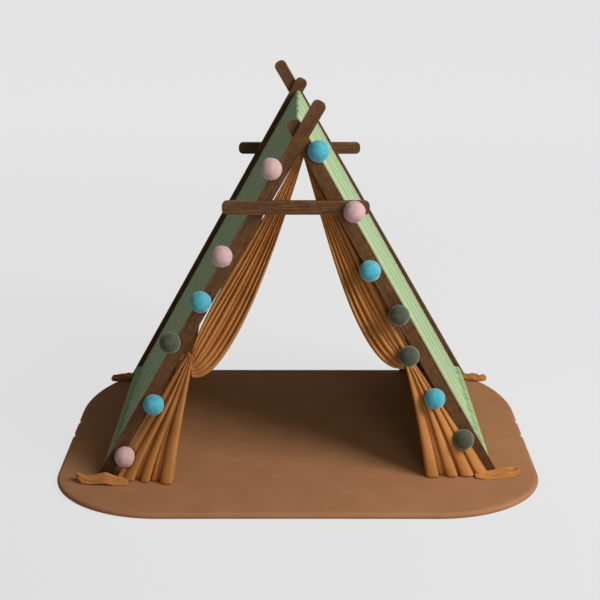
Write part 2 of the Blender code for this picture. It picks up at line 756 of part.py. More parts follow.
def ball_mesh(name, grow=0.0):
    """A ball with a flat at the back, where it is glued."""
    radius = BALL_RADIUS + grow
    seat = BALL_SEAT + grow
    profile = arc((0, 0), radius, -90, math.degrees(math.asin(seat / radius)), 9)
    profile = [(max(x, 0.0), y) for x, y in profile] + [(0.0, seat)]
    shape = bmesh.new()
    verts = [shape.verts.new((x, y, 0.0)) for x, y in profile]
    edges = [shape.edges.new(pair) for pair in zip(verts, verts[1:])]
    bmesh.ops.spin(shape, geom=verts + edges, cent=(0, 0, 0), axis=(0, 1, 0),
                   angle=2 * math.pi, steps=14)
    bmesh.ops.remove_doubles(shape, verts=shape.verts, dist=0.00001)
    bmesh.ops.recalc_face_normals(shape, faces=shape.faces)
    mesh = bpy.data.meshes.new(name)
    shape.to_mesh(mesh)
    shape.free()
    return mesh


def ball_places():
    """(number, carrier, middle of the ball, felt) of each ball."""
    number = 0
    for number, (carrier, share, offset, felt) in enumerate(BALLS, start=1):
        height = MAT_THICKNESS + share * RISE
        if carrier == "outer":
            x = leg_line("outer", height) + offset
            face = OUTER_BACK + BATTEN_THICKNESS
        else:
            x = leg_line("inner", height) - offset
            face = INNER_BACK + BATTEN_THICKNESS
        yield number, carrier, (x, -face - FIT - BALL_SEAT, height), felt
    felt, inset, above = CROSSBAR_BALL
    x = CROSSBAR_SHIFT + CROSSBAR_LENGTH / 2 - inset
    face = BAR_BACK + BATTEN_THICKNESS
    yield number + 1, "crossbar", (x, -face - FIT - BALL_SEAT, CROSSBAR_HEIGHT + above), felt


def make_balls():
    felts = {"pink": pink_felt, "blue": blue_felt, "olive": olive_felt}
    for number, _, middle, felt in ball_places():
        name = f"felt_ball_{number:02d}"
        ball = add_object(name, ball_mesh(name), parts, felts[felt], smooth=50)
        ball.location = middle


def ball_cutters(kind):
    """Room for the balls on a leg that press into the cloth beside it."""
    for number, carrier, middle, _ in ball_places():
        if carrier == kind and middle[2] < MAT_THICKNESS + BALL_ROOM_TOP * RISE:
            mesh = ball_mesh(f"ball_room_{number:02d}", CURTAIN_CLEARANCE)
            cutter = add_object(mesh.name, mesh, cutters)
            cutter.location = middle
            yield hide_cutter(cutter)


# Mat

def notch(distance):
    """How far the side is drawn in at a distance from a notch."""
    return MAT_NOTCH_DEPTH * max(0.0, 1 - abs(distance) / (MAT_NOTCH_WIDTH / 2))


def mat_corner(edge, reach, start, steps):
    """A quarter of an ellipse that ends on the side and on the front or rear edge."""
    reach_x, reach_y = reach
    middle_y = edge - math.copysign(reach_y, edge)
    return [(MAT_SIDE + reach_x * (x - 1), middle_y + reach_y * y)
            for x, y in arc((0, 0), 1, start, start + 90, steps)]


def mat_outline():
    front_arc = mat_corner(-MAT_FRONT, MAT_FRONT_CORNER, -90, 10)
    rear_arc = mat_corner(MAT_REAR, MAT_REAR_CORNER, 0, 10)
    side = []
    for middle in sorted(MAT_NOTCHES):
        for step in (-0.5, -0.2, 0.0, 0.2, 0.5):
            distance = step * MAT_NOTCH_WIDTH
            side.append((MAT_SIDE - notch(distance), middle + distance))
    right = front_arc + side + rear_arc
    left = [(-x, y) for x, y in reversed(right)]
    return right + left


def make_mat():
    mesh = outline_solid("mat", [mat_outline()], MAT_THICKNESS,
                         Matrix.Translation((0, 0, MAT_THICKNESS / 2)), rim=MAT_RIM)
    add_object("mat", mesh, parts, brown_cloth, smooth=50)


clear_scene()
parts = new_collection("play_tent")
cutters = new_collection("cutters")

walnut = material("walnut_batten", (0.105, 0.051, 0.030), 0.60)
striped_cloth = material("green_striped_cotton", (0.590, 0.760, 0.500), 0.85)
ochre_cloth = material("ochre_cotton", (0.420, 0.195, 0.060), 0.80)
brown_cloth = material("brown_canvas", (0.230, 0.120, 0.060), 0.90)
steel = material("zinc_plated_steel", (0.560, 0.560, 0.570), 0.35, 1.0)
pink_felt = material("pink_felt", (0.640, 0.440, 0.430), 0.95)
blue_felt = material("blue_felt", (0.070, 0.420, 0.520), 0.95)
olive_felt = material("olive_felt", (0.090, 0.100, 0.065), 0.95)

make_frame()
make_ridge_and_rails()
make_cover()
make_curtain_loops()
make_curtains()
make_tabs()
make_balls()
make_mat()
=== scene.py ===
import math
import random
from functools import partial

import bmesh
import bpy
from mathutils import Matrix, Vector, noise
from mathutils.geometry import interpolate_bezier


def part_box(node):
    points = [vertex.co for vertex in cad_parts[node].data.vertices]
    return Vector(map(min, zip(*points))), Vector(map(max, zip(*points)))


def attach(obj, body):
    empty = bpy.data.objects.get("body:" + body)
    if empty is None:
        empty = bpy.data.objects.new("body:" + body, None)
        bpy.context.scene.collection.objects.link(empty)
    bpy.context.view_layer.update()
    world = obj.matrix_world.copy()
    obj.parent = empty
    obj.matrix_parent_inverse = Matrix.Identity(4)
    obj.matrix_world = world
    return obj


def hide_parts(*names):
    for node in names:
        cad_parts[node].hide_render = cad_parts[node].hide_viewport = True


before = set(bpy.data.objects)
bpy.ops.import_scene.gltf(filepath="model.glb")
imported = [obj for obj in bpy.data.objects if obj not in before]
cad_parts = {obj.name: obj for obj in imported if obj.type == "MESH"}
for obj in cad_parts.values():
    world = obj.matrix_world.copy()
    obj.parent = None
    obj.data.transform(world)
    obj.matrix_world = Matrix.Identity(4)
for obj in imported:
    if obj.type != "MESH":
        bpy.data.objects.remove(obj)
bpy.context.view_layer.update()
print("frame loaded")

# Sizes shared with the solids, in metres. A back is how far the inner face of a layer of
# battens lies from the tent's middle, and shift is how far the legs' crossing lies aside.
tent = dict(
    stance=0.660, crossing=1.185, shift=0.009, matTop=0.022, layer=0.018, width=0.044,
    innerBack=0.411, outerBack=0.4293, barBack=0.4476, barHeight=0.965, barShift=0.0055,
    railHeight=0.050, railOut=0.0098,
)
rise = tent["crossing"] - tent["matTop"]
leanOf = {
    "outer": math.atan((tent["stance"] + tent["shift"]) / rise),
    "inner": math.atan((tent["stance"] - tent["shift"]) / rise),
}
backOf = {"outer": tent["outerBack"], "inner": tent["innerBack"]}
railX = math.tan(leanOf["outer"]) * (tent["crossing"] - tent["railHeight"]) - tent["shift"]
railX += tent["railOut"]
# The mat is made last, but the loose corners of the curtains lie over its edge.
matSettings = dict(
    side=0.825, front=0.731, rear=0.505, frontCorner=(0.370, 0.300), rearCorner=(0.310, 0.420),
    notches=(-0.007, -0.125), notchDepth=0.009, notchWidth=0.045, spacing=0.008, centre=(0.0, -0.12),
    # (distance in from the rim, height) of the underside, then of the top from the seam inwards
    under=((0.22, 0.0), (0.03, 0.0), (0.0095, 0.0), (0.005, 0.0009), (0.0018, 0.0040), (0.0004, 0.0072)),
    rim=((0.0, 0.0100), (0.0006, 0.0134), (0.0022, 0.0166), (0.0050, 0.0192), (0.0095, 0.0208),
         (0.0160, 0.0214), (0.026, 0.0216)),
    # Rings further in, by distance from the rim and then as shares of the way to the centre
    insets=(0.04, 0.06, 0.085, 0.115, 0.15, 0.19, 0.235, 0.285, 0.34), shares=(0.4, 0.3, 0.2, 0.1),
    deepInset=0.5, flat=0.0216, highest=0.0219, seamWrinkles=0.35, swell=0.0006, fineSwell=0.0003,
    puffs=0.0005, notchFrom=0.80, pullFrom=0.79, pullWidth=0.02, pullDepth=0.0022,
)
scene = bpy.context.scene


# Small helpers

def linear(text):
    # Colours are written as the eye sees them, and the shaders want them linear.
    values = [int(text[i:i + 2], 16) / 255 for i in (1, 3, 5)]
    return tuple(v / 12.92 if v <= 0.04045 else ((v + 0.055) / 1.055) ** 2.4 for v in values) + (1.0,)


def feed(node, values):
    # Values go in by input name: a socket or node to link, or a plain value.
    for key, value in values.items():
        if isinstance(value, bpy.types.Node):
            value = value.outputs[0]
        if isinstance(value, bpy.types.NodeSocket):
            node.id_data.links.new(value, node.inputs[key])
        else:
            node.inputs[key].default_value = value


def addNode(tree, kind, values=None, stops=(), **settings):
    # Settings are the node's own fields. Stops are (place, colour or grey level) on its ramp.
    node = tree.nodes.new(kind)
    for key, value in settings.items():
        setattr(node, key, value)
    elements = node.color_ramp.elements if stops else []
    while len(elements) < len(stops):
        elements.new(1.0)
    for element, (place, colour) in zip(elements, stops):
        element.position = place
        element.color = linear(colour) if isinstance(colour, str) else (colour, colour, colour, 1)
    feed(node, values or {})
    return node


def newMaterial(name):
    # The material, a function that adds nodes to it, and its shader
    made = bpy.data.materials.new(name)
    made.use_nodes = True
    tree = made.node_tree
    return made, partial(addNode, tree), tree.nodes["Principled BSDF"]


def ease(value, start, end):
    share = min(max((value - start) / (end - start), 0.0), 1.0)
    return share * share * (3 - 2 * share)


def wobble(x, y, z, seed=0.0):
    return noise.noise(Vector((x + seed, y - 2 * seed, z + 3 * seed)))


def pieceFrom(name, verts, faces, coords=None):
    # A mesh object with, where given, a UV map in metres of cloth.
    mesh = bpy.data.meshes.new(name)
    mesh.from_pydata(verts, [], faces)
    if coords is not None:
        layer = mesh.uv_layers.new(name="cloth")
        for loop in mesh.loops:
            layer.data[loop.index].uv = coords[loop.vertex_index]
    mesh.shade_smooth()
    obj = bpy.data.objects.new(name, mesh)
    scene.collection.objects.link(obj)
    return obj


def gridFaces(rows, cols, start=0):
    faces = []
    for r in range(rows - 1):
        for c in range(cols - 1):
            a = start + r * cols + c
            faces.append((a, a + 1, a + cols + 1, a + cols))
    return faces


def boxMiddle(node):
    low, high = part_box(node)
    return tuple((a + b) / 2 for a, b in zip(low, high))


def dress(piece, made, node):
    # Every new piece gets its material, rides on the one body and stands for its solid.
    piece.data.materials.clear()
    piece.data.materials.append(made)
    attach(piece, "root")
    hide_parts(node)


def thicken(piece, thickness):
    solid = piece.modifiers.new("Cloth thickness", "SOLIDIFY")
    solid.thickness = thickness
    solid.offset = 0.0


# Camera at the photograph's viewpoint

cameraSettings = dict(place=(0.00975, -4.26834, 1.95899), down=0.32979, turn=0.00051, lens=74.18)
lens = bpy.data.cameras.new("camera")
lens.lens = cameraSettings["lens"]
lens.sensor_width = 36.0
camera = bpy.data.objects.new("camera", lens)
camera.location = cameraSettings["place"]
camera.rotation_euler = (math.pi / 2 - cameraSettings["down"], 0, cameraSettings["turn"])
scene.collection.objects.link(camera)
scene.camera = camera
print("camera placed")


# Materials

def walnutBatten(name, origin, turn, halves, seed):
    # Planed walnut-stained lath with a thin matt lacquer. The long figure, open pores and
    # paler rubbed arrises tell the eye that it is wood and how large it is.
    made, add, shader = newMaterial(name)
    place = add("ShaderNodeTexCoord").outputs["Object"]
    local = add("ShaderNodeMapping",
                {"Vector": place, "Location": origin, "Rotation": turn}, vector_type="TEXTURE")
    along = add("ShaderNodeMapping",
                {"Vector": local, "Location": (seed, seed * 0.7, seed * 0.3), "Scale": (1, 1, 0.13)})
    fine = add("ShaderNodeMapping", {"Vector": local, "Location": (seed, 0, 0), "Scale": (1, 1, 0.06)})
    # Figure about 16 mm wide and 120 mm long, pores about 1 mm wide and 20 mm long
    figure = add("ShaderNodeTexNoise",
                 {"Vector": along, "Scale": 62.0, "Detail": 5.0, "Roughness": 0.6, "Distortion": 1.2})
    rings = add("ShaderNodeTexWave",
                {"Vector": along, "Scale": 34.0, "Distortion": 9.0, "Detail": 3.0,
                 "Detail Scale": 1.6}, bands_direction="X")
    pores = add("ShaderNodeTexNoise", {"Vector": fine, "Scale": 820.0, "Detail": 3.0, "Roughness": 0.7})
    cross = add("ShaderNodeTexNoise", {"Vector": local, "Scale": 38.0, "Detail": 3.0})
    figured = add("ShaderNodeMath",
                  {0: figure.outputs["Fac"], 1: rings.outputs["Fac"]}, operation="MULTIPLY")
    mottled = add("ShaderNodeMath", {0: figured, 1: cross.outputs["Fac"]}, operation="ADD")
    level = add("ShaderNodeMath", {0: mottled, 1: 0.62}, operation="MULTIPLY")
    body = add("ShaderNodeValToRGB", {"Fac": level},
               stops=[(0.24, "#492d15"), (0.42, "#5e3d21"), (0.56, "#694525"), (0.76, "#78512d")])
    poreMask = add("ShaderNodeValToRGB", {"Fac": pores.outputs["Fac"]},
                   stops=[(0.50, 0.0), (0.62, 1.0)])
    poreShade = add("ShaderNodeMath", {0: poreMask, 1: 0.42}, operation="MULTIPLY")
    withPores = add("ShaderNodeMixRGB", {"Fac": poreShade, "Color1": body, "Color2": linear("#38251a")})
    parts = add("ShaderNodeSeparateXYZ", {"Vector": local})
    shares = []
    for axis, half in zip("XY", halves):
        away = add("ShaderNodeMath", {0: parts.outputs[axis]}, operation="ABSOLUTE")
        shares.append(add("ShaderNodeMath", {0: away, 1: half}, operation="DIVIDE"))
    nearest = add("ShaderNodeMath", {0: shares[0], 1: shares[1]}, operation="MINIMUM")
    arris = add("ShaderNodeMapRange", {"Value": nearest, "From Min": 0.86, "From Max": 1.0})
    rubbed = add("ShaderNodeMath", {0: arris, 1: cross.outputs["Fac"]}, operation="MULTIPLY")
    worn = add("ShaderNodeMixRGB", {"Fac": rubbed, "Color1": withPores, "Color2": linear("#94694a")})
    rough = add("ShaderNodeMapRange", {"Value": figure.outputs["Fac"], "To Min": 0.46, "To Max": 0.70})
    sunken = add("ShaderNodeMath", {0: poreMask, 1: -0.7}, operation="MULTIPLY")
    raised = add("ShaderNodeMath", {0: sunken, 1: figure.outputs["Fac"]}, operation="ADD")
    bump = add("ShaderNodeBump", {"Height": raised, "Strength": 0.55, "Distance": 0.0005})
    feed(shader, {"Base Color": worn, "Roughness": rough, "Normal": bump, "Specular IOR Level": 0.2})
    return made


def slubsOf(add, coords, scale, stretch):
    # Thick places in the yarn, drawn out along it
    drawnOut = add("ShaderNodeMapping", {"Vector": coords, "Scale": (1, stretch, 1)})
    slub = add("ShaderNodeTexNoise", {"Vector": drawnOut, "Scale": scale, "Detail": 2.0})
    return slub.outputs["Fac"]


def weaveBump(add, coords, slub, pitch, strength, distance):
    # Two sets of yarns that cross, with their slubs. One wave is 0.314 units long at scale 1.
    threads = []
    for direction in ("X", "Y"):
        wave = add("ShaderNodeTexWave",
                   {"Vector": coords, "Scale": 0.314 / pitch, "Distortion": 0.4, "Detail": 1.0},
                   bands_direction=direction)
        threads.append(wave.outputs["Fac"])
    weave = add("ShaderNodeMath", {0: threads[0], 1: threads[1]}, operation="MAXIMUM")
    height = add("ShaderNodeMath", {0: weave, 1: slub}, operation="ADD")
    return add("ShaderNodeBump", {"Height": height, "Strength": strength, "Distance": distance})


def clothMaterial(name, dark, base, light, pitch, sheen, roughness):
    # Plain-woven cloth: yarns in the bump, slubs and uneven dye in the colour, and a soft
    # sheen from loose fibres that keeps its edges from looking like plastic.
    made, add, shader = newMaterial(name)
    coords = add("ShaderNodeUVMap", uv_map="cloth")
    place = add("ShaderNodeTexCoord").outputs["Object"]
    slub = slubsOf(add, coords, 420.0, 0.08)
    slubShare = 0.35
    dye = add("ShaderNodeTexNoise", {"Vector": place, "Scale": 9.0, "Detail": 4.0})
    tone = add("ShaderNodeMath", {0: slub, 1: slubShare, 2: dye.outputs["Fac"]},
               operation="MULTIPLY_ADD")
    scaled = add("ShaderNodeMath", {0: tone, 1: 1 / (1 + slubShare)}, operation="MULTIPLY")
    dyed = add("ShaderNodeValToRGB", {"Fac": scaled},
               stops=[(0.32, dark), (0.50, base), (0.70, light)])
    feed(shader, {
        "Base Color": dyed, "Normal": weaveBump(add, coords, slub, pitch, 0.35, 0.00025),
        "Roughness": roughness, "Specular IOR Level": 0.2,
        "Sheen Weight": sheen, "Sheen Roughness": 0.5, "Sheen Tint": linear(light),
    })
    return made


stripeSettings = dict(
    repeat=0.260, first=0.273, pale="#d4e9b8", dark="#689a50", onSlope=0.90,
    slant=0.8, fineHalfRepeat=0.0100, fineShare=0.85, hemEdge=0.004, shiver=0.0016,
    # (start in millimetres, depth of colour) along one repeat of the stripes
    bands=((0, 1.0), (3.5, 0.25), (10, 0.05), (19, 0.35), (27, 0.95), (31, 0.70), (51, 0.95), (55, 0.30),
           (66, 0.0), (84, 0.25), (95, 0.60), (99, 0.30), (107, 0.60), (111, 0.20), (121, 0.0),
           (139, 0.30), (147.5, 1.0), (154.5, 0.25), (160, 0.05), (170, 0.35), (178, 0.95), (182, 0.70),
           (201, 0.95), (205, 0.30), (217, 0.0), (249, 0.30), (256.5, 1.0)),
)


def stripedCotton(name, slopeLength):
    # Pale green cotton with yarn-dyed stripes that run down the slope, so they show the eye
    # how it is stretched. On the hem the stripes are drawn at full depth and on the slope a little
    # paler, and fine slanted lines nearly hide the hem's stripes.
    s = stripeSettings
    made, add, shader = newMaterial(name)
    coords = add("ShaderNodeUVMap", uv_map="cloth")
    parts = add("ShaderNodeSeparateXYZ", {"Vector": coords})
    shiver = add("ShaderNodeTexNoise", {"Vector": coords, "Scale": 30.0, "Detail": 2.0})
    across = add("ShaderNodeMath",
                 {0: shiver.outputs["Fac"], 1: s["shiver"], 2: parts.outputs["X"]},
                 operation="MULTIPLY_ADD")
    fromFirst = add("ShaderNodeMath", {0: s["first"], 1: across}, operation="SUBTRACT")
    turns = add("ShaderNodeMath", {0: fromFirst, 1: s["repeat"]}, operation="DIVIDE")
    share = add("ShaderNodeMath", {0: turns}, operation="FRACT")
    stripes = add("ShaderNodeValToRGB", {"Fac": share},
                  stops=[(start / 1000 / s["repeat"], depth) for start, depth in s["bands"]])
    stripes.color_ramp.interpolation = "CONSTANT"
    down = add("ShaderNodeMath", {0: parts.outputs["Y"]}, operation="ABSOLUTE")
    slant = add("ShaderNodeMath", {0: down, 1: s["slant"], 2: across}, operation="MULTIPLY_ADD")
    fineTurns = add("ShaderNodeMath", {0: slant, 1: s["fineHalfRepeat"]}, operation="DIVIDE")
    fine = add("ShaderNodeMath", {0: fineTurns, 1: 1.0}, operation="PINGPONG")
    hemEdge = {"Value": down, "From Min": slopeLength, "From Max": slopeLength + s["hemEdge"]}
    strength = add("ShaderNodeMapRange", {**hemEdge, "To Min": s["onSlope"]})
    fineShare = add("ShaderNodeMapRange", {**hemEdge, "To Max": s["fineShare"]})
    drawn = add("ShaderNodeMixRGB", {"Fac": fineShare, "Color1": stripes, "Color2": fine})
    depthOf = add("ShaderNodeMath", {0: drawn, 1: strength}, operation="MULTIPLY")
    dyed = add("ShaderNodeMixRGB",
               {"Fac": depthOf, "Color1": linear(s["pale"]), "Color2": linear(s["dark"])})
    slub = slubsOf(add, coords, 380.0, 0.06)
    shades = add("ShaderNodeValToRGB", {"Fac": slub}, stops=[(0.30, "#e9e9e9"), (0.70, "#ffffff")])
    striped = add("ShaderNodeMixRGB", {"Fac": 1.0, "Color1": dyed, "Color2": shades},
                  blend_type="MULTIPLY")
    feed(shader, {
        "Base Color": striped, "Normal": weaveBump(add, coords, slub, 0.0009, 0.3, 0.0003),
        "Roughness": 0.85, "Specular IOR Level": 0.2, "Sheen Weight": 0.04,
    })
    return made


def woolFelt(name, dark, base, light, rim):
    # Wet-felted wool: matted fibres mottle the colour, the bump is fine and lumpy, and the sheen
    # and a painted pale rim give the pale bloom that velvet and felt show round their outline.
    made, add, shader = newMaterial(name)
    place = add("ShaderNodeTexCoord").outputs["Object"]
    clumps = add("ShaderNodeTexNoise",
                 {"Vector": place, "Scale": 60.0, "Detail": 5.0, "Roughness": 0.7}).outputs["Fac"]
    fibres = add("ShaderNodeTexNoise",
                 {"Vector": place, "Scale": 700.0, "Detail": 4.0, "Roughness": 0.8,
                  "Distortion": 2.5}).outputs["Fac"]
    tone = add("ShaderNodeMath", {0: clumps, 1: fibres}, operation="ADD")
    level = add("ShaderNodeMath", {0: tone, 1: 0.5}, operation="MULTIPLY")
    colour = add("ShaderNodeValToRGB", {"Fac": level},
                 stops=[(0.34, dark), (0.50, base), (0.66, light)])
    # Painted sheen: the base colour turns pale towards the outline, as the raised fibres catch light.
    facing = add("ShaderNodeLayerWeight", {"Blend": 0.30}).outputs["Facing"]
    narrow = add("ShaderNodeMath", {0: facing, 1: 2.2}, operation="POWER")
    paintedSheen = add("ShaderNodeMath", {0: narrow, 1: 0.65}, operation="MULTIPLY")
    withPaintedSheen = add("ShaderNodeMixRGB", {"Fac": paintedSheen, "Color1": colour, "Color2": linear(rim)})
    bump = add("ShaderNodeBump", {"Height": tone, "Strength": 0.5, "Distance": 0.0012})
    feed(shader, {
        "Base Color": withPaintedSheen, "Normal": bump, "Roughness": 0.95, "Specular IOR Level": 0.1,
        "Sheen Weight": 1.0, "Sheen Roughness": 0.28, "Sheen Tint": linear(rim),
    })
    return made


def zincSteel(name):
    # Zinc-plated screw steel: bright, with a cloudy passivation that varies its gloss.
    made, add, shader = newMaterial(name)
    place = add("ShaderNodeTexCoord").outputs["Object"]
    cloud = add("ShaderNodeTexNoise", {"Vector": place, "Scale": 260.0, "Detail": 4.0}).outputs["Fac"]
    rough = add("ShaderNodeMapRange", {"Value": cloud, "To Min": 0.25, "To Max": 0.45})
    colour = add("ShaderNodeValToRGB", {"Fac": cloud}, stops=[(0.35, "#a8a79e"), (0.65, "#c9c9c6")])
    feed(shader, {"Base Color": colour, "Roughness": rough, "Metallic": 1.0})
    return made


ochreCotton = clothMaterial("ochre_cotton_curtain", "#aa6e36", "#b97b40", "#c68a4d",
                            pitch=0.0008, sheen=0.25, roughness=0.8)
ochreTape = clothMaterial("ochre_cotton_tape", "#8f5a28", "#a56a31", "#b87b3e",
                          pitch=0.0014, sheen=0.2, roughness=0.85)
brownCanvas = clothMaterial("brown_canvas_mat", "#a4714c", "#a97650", "#ae7b55",
                            pitch=0.0014, sheen=0.2, roughness=0.92)
felts = {
    "pink": woolFelt("dusty_pink_wool_felt", "#bd9896", "#cda9a7", "#dcbcb9", "#fff2f0"),
    "blue": woolFelt("teal_wool_felt", "#3b97a8", "#4eabbb", "#74c4cf", "#e4fbff"),
    "olive": woolFelt("olive_wool_felt", "#41443a", "#505346", "#636655", "#c9cdb8"),
}
zinc = zincSteel("zinc_plated_steel")
print("materials made")


# Wooden pieces keep their solids and get their own grain direction

battenSettings = dict(
    lying=(0, math.pi / 2, 0), alongDepth=(math.pi / 2, 0, 0),
    spacerHalves=(0.015, 0.009), roundHalves=(0.008, 0.008),
    legSeed=5.0, otherEnd=3.1, crossbarSeed=7.7, spacerSeed=12.3, roundSeed=20.5,
)


def setMaterial(node, made):
    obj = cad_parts[node]
    if not obj.material_slots:
        obj.data.materials.append(made)
    for slot in obj.material_slots:
        slot.material = made


def dressBattens():
    s = battenSettings
    halves = (tent["width"] / 2, tent["layer"] / 2)
    for number, end in enumerate(("front", "rear")):
        facing = -1 if end == "front" else 1
        for kind, tilt in (("outer", leanOf["outer"]), ("inner", -leanOf["inner"])):
            crossing = (-facing * tent["shift"], facing * (backOf[kind] + halves[1]), tent["crossing"])
            wood = walnutBatten(f"walnut_{end}_{kind}_leg", crossing, (0, -facing * tilt, 0), halves,
                                s["legSeed"] + s["otherEnd"] * number)
            setMaterial(f"{end}_{kind}_leg", wood)
        middle = (facing * tent["barShift"], facing * (tent["barBack"] + halves[1]), tent["barHeight"])
        wood = walnutBatten(f"walnut_{end}_crossbar", middle, s["lying"], halves,
                            s["crossbarSeed"] + number)
        setMaterial(f"{end}_crossbar", wood)
        spacer = f"{end}_crossbar_spacer"
        wood = walnutBatten(f"walnut_{end}_spacer", boxMiddle(spacer), s["lying"], s["spacerHalves"],
                            s["spacerSeed"] + number)
        setMaterial(spacer, wood)
        for screw in range(1, 5):
            setMaterial(f"{end}_crossbar_screw_{screw}", zinc)
    for number, node in enumerate(("ridge_pole", "left_hem_rail", "right_hem_rail")):
        wood = walnutBatten(f"walnut_{node}", boxMiddle(node), s["alongDepth"], s["roundHalves"],
                            s["roundSeed"] + number)
        setMaterial(node, wood)


dressBattens()
print("battens dressed")


# Cover: one sheet over the ridge, sewn into a pocket round each rail

coverSettings = dict(
    ridge=0.0091, ridgeOutside=0.0101, stitch=(railX - 0.0176, 0.072), shoulder=0.0090,
    shoulderMiddle=(0.0108, -0.009), wrap=0.0105, toe=0.0052, toeMiddle=(railX + 0.008, 0.034),
    lap=0.0015, half=0.4095, columns=190, thickness=0.0013, slopeSteps=90,
    slack=0.0018, fineSlack=0.0006, pucker=0.0010, puckerPitch=0.027,
)


def arcPoints(middle, radius, angles):
    turns = [math.radians(angle) for angle in angles]
    return [(middle[0] + radius * math.cos(a), middle[1] + radius * math.sin(a)) for a in turns]


def coverPath():
    # Half of the section, from the ridge to the stitch on the inside of the pocket, and how
    # much of it is slope. Under the stitch the pocket stands proud of the slope.
    s = coverSettings
    drop = tent["crossing"] - s["stitch"][1]
    lean = math.atan2(s["stitch"][0], drop)
    lean -= math.asin(s["ridgeOutside"] / math.hypot(s["stitch"][0], drop))
    flat = 90 - math.degrees(lean)
    points = arcPoints((0, tent["crossing"]), s["ridge"], [90 - flat * step / 8 for step in range(9)])
    start = Vector(points[-1])
    end = Vector((s["ridge"] / math.cos(lean) + drop * math.tan(lean), s["stitch"][1]))
    for step in range(1, s["slopeSteps"] + 1):
        points.append(tuple(start.lerp(end, step / s["slopeSteps"])))
    slopeLength = sum(math.dist(a, b) for a, b in zip(points, points[1:]))
    shoulderMiddle = (s["stitch"][0] + s["shoulderMiddle"][0], s["stitch"][1] + s["shoulderMiddle"][1])
    rail = (railX, tent["railHeight"])
    points += arcPoints(shoulderMiddle, s["shoulder"], (108, 92, 76, 60, 44, 28))
    points += arcPoints(rail, s["wrap"], (24, 10, -5, -20))
    points += arcPoints(s["toeMiddle"], s["toe"], (-20, -50, -80, -110, -140, -160))
    points += arcPoints(rail, s["wrap"], (218, 200, 182, 165, 150))
    last, inside = Vector(points[-1]), end - Vector((s["lap"], 0.0))
    for step in (0.25, 0.5, 0.75, 1.0):
        points.append(tuple(last.lerp(inside, step)))
    return points, slopeLength


def makeCover():
    s = coverSettings
    half, slopeLength = coverPath()
    section = [(-x, z) for x, z in reversed(half)] + half[1:]
    lengths = [0.0]
    for a, b in zip(section, section[1:]):
        lengths.append(lengths[-1] + math.dist(a, b))
    total = lengths[-1]
    verts, coords = [], []
    for row, (x, z) in enumerate(section):
        before = Vector(section[max(row - 1, 0)])
        after = Vector(section[min(row + 1, len(section) - 1)])
        run = (after - before).normalized()
        out = Vector((-run.y, run.x))
        fromRidge = abs(lengths[row] - total / 2)
        # Where the cloth can slacken, where the pocket puckers and where the stitch pulls
        onSlope = ease(fromRidge, 0.01, 0.12)
        onSlope *= 1 - ease(fromRidge, slopeLength - 0.11, slopeLength - 0.01)
        inPocket = ease(fromRidge, slopeLength, slopeLength + 0.008)
        inPocket *= 1 - ease(fromRidge, slopeLength + 0.055, slopeLength + 0.075)
        pull = ease(fromRidge, slopeLength - 0.16, slopeLength - 0.012)
        pull *= 1 - ease(fromRidge, slopeLength - 0.008, slopeLength)
        for column in range(s["columns"] + 1):
            y = -s["half"] + 2 * s["half"] * column / s["columns"]
            inner = 1 - abs(y / s["half"]) ** 8
            slack = s["slack"] * wobble(y * 3.2, fromRidge * 1.3, x, 4.0)
            slack += s["fineSlack"] * wobble(y * 11, fromRidge * 2.4, x, 9.0)
            gathers = math.sin(2 * math.pi * y / s["puckerPitch"] + 2.6 * wobble(y * 9, x, 0, 2.0))
            pucker = s["pucker"] * gathers
            shift = (slack * onSlope + pucker * (0.9 * inPocket + 0.7 * pull)) * inner
            spot = Vector((x, z)) + out * shift
            verts.append((spot.x, y, spot.y))
            coords.append((y, lengths[row] - total / 2))
    cols = s["columns"] + 1
    piece = pieceFrom("striped_cover", verts, gridFaces(len(section), cols), coords)
    thicken(piece, s["thickness"])
    dress(piece, stripedCotton("green_striped_cotton", slopeLength), "cover")


makeCover()
print("cover made")


# Curtains: one sheet each, gathered at the pole and at the tab, folded all the way down

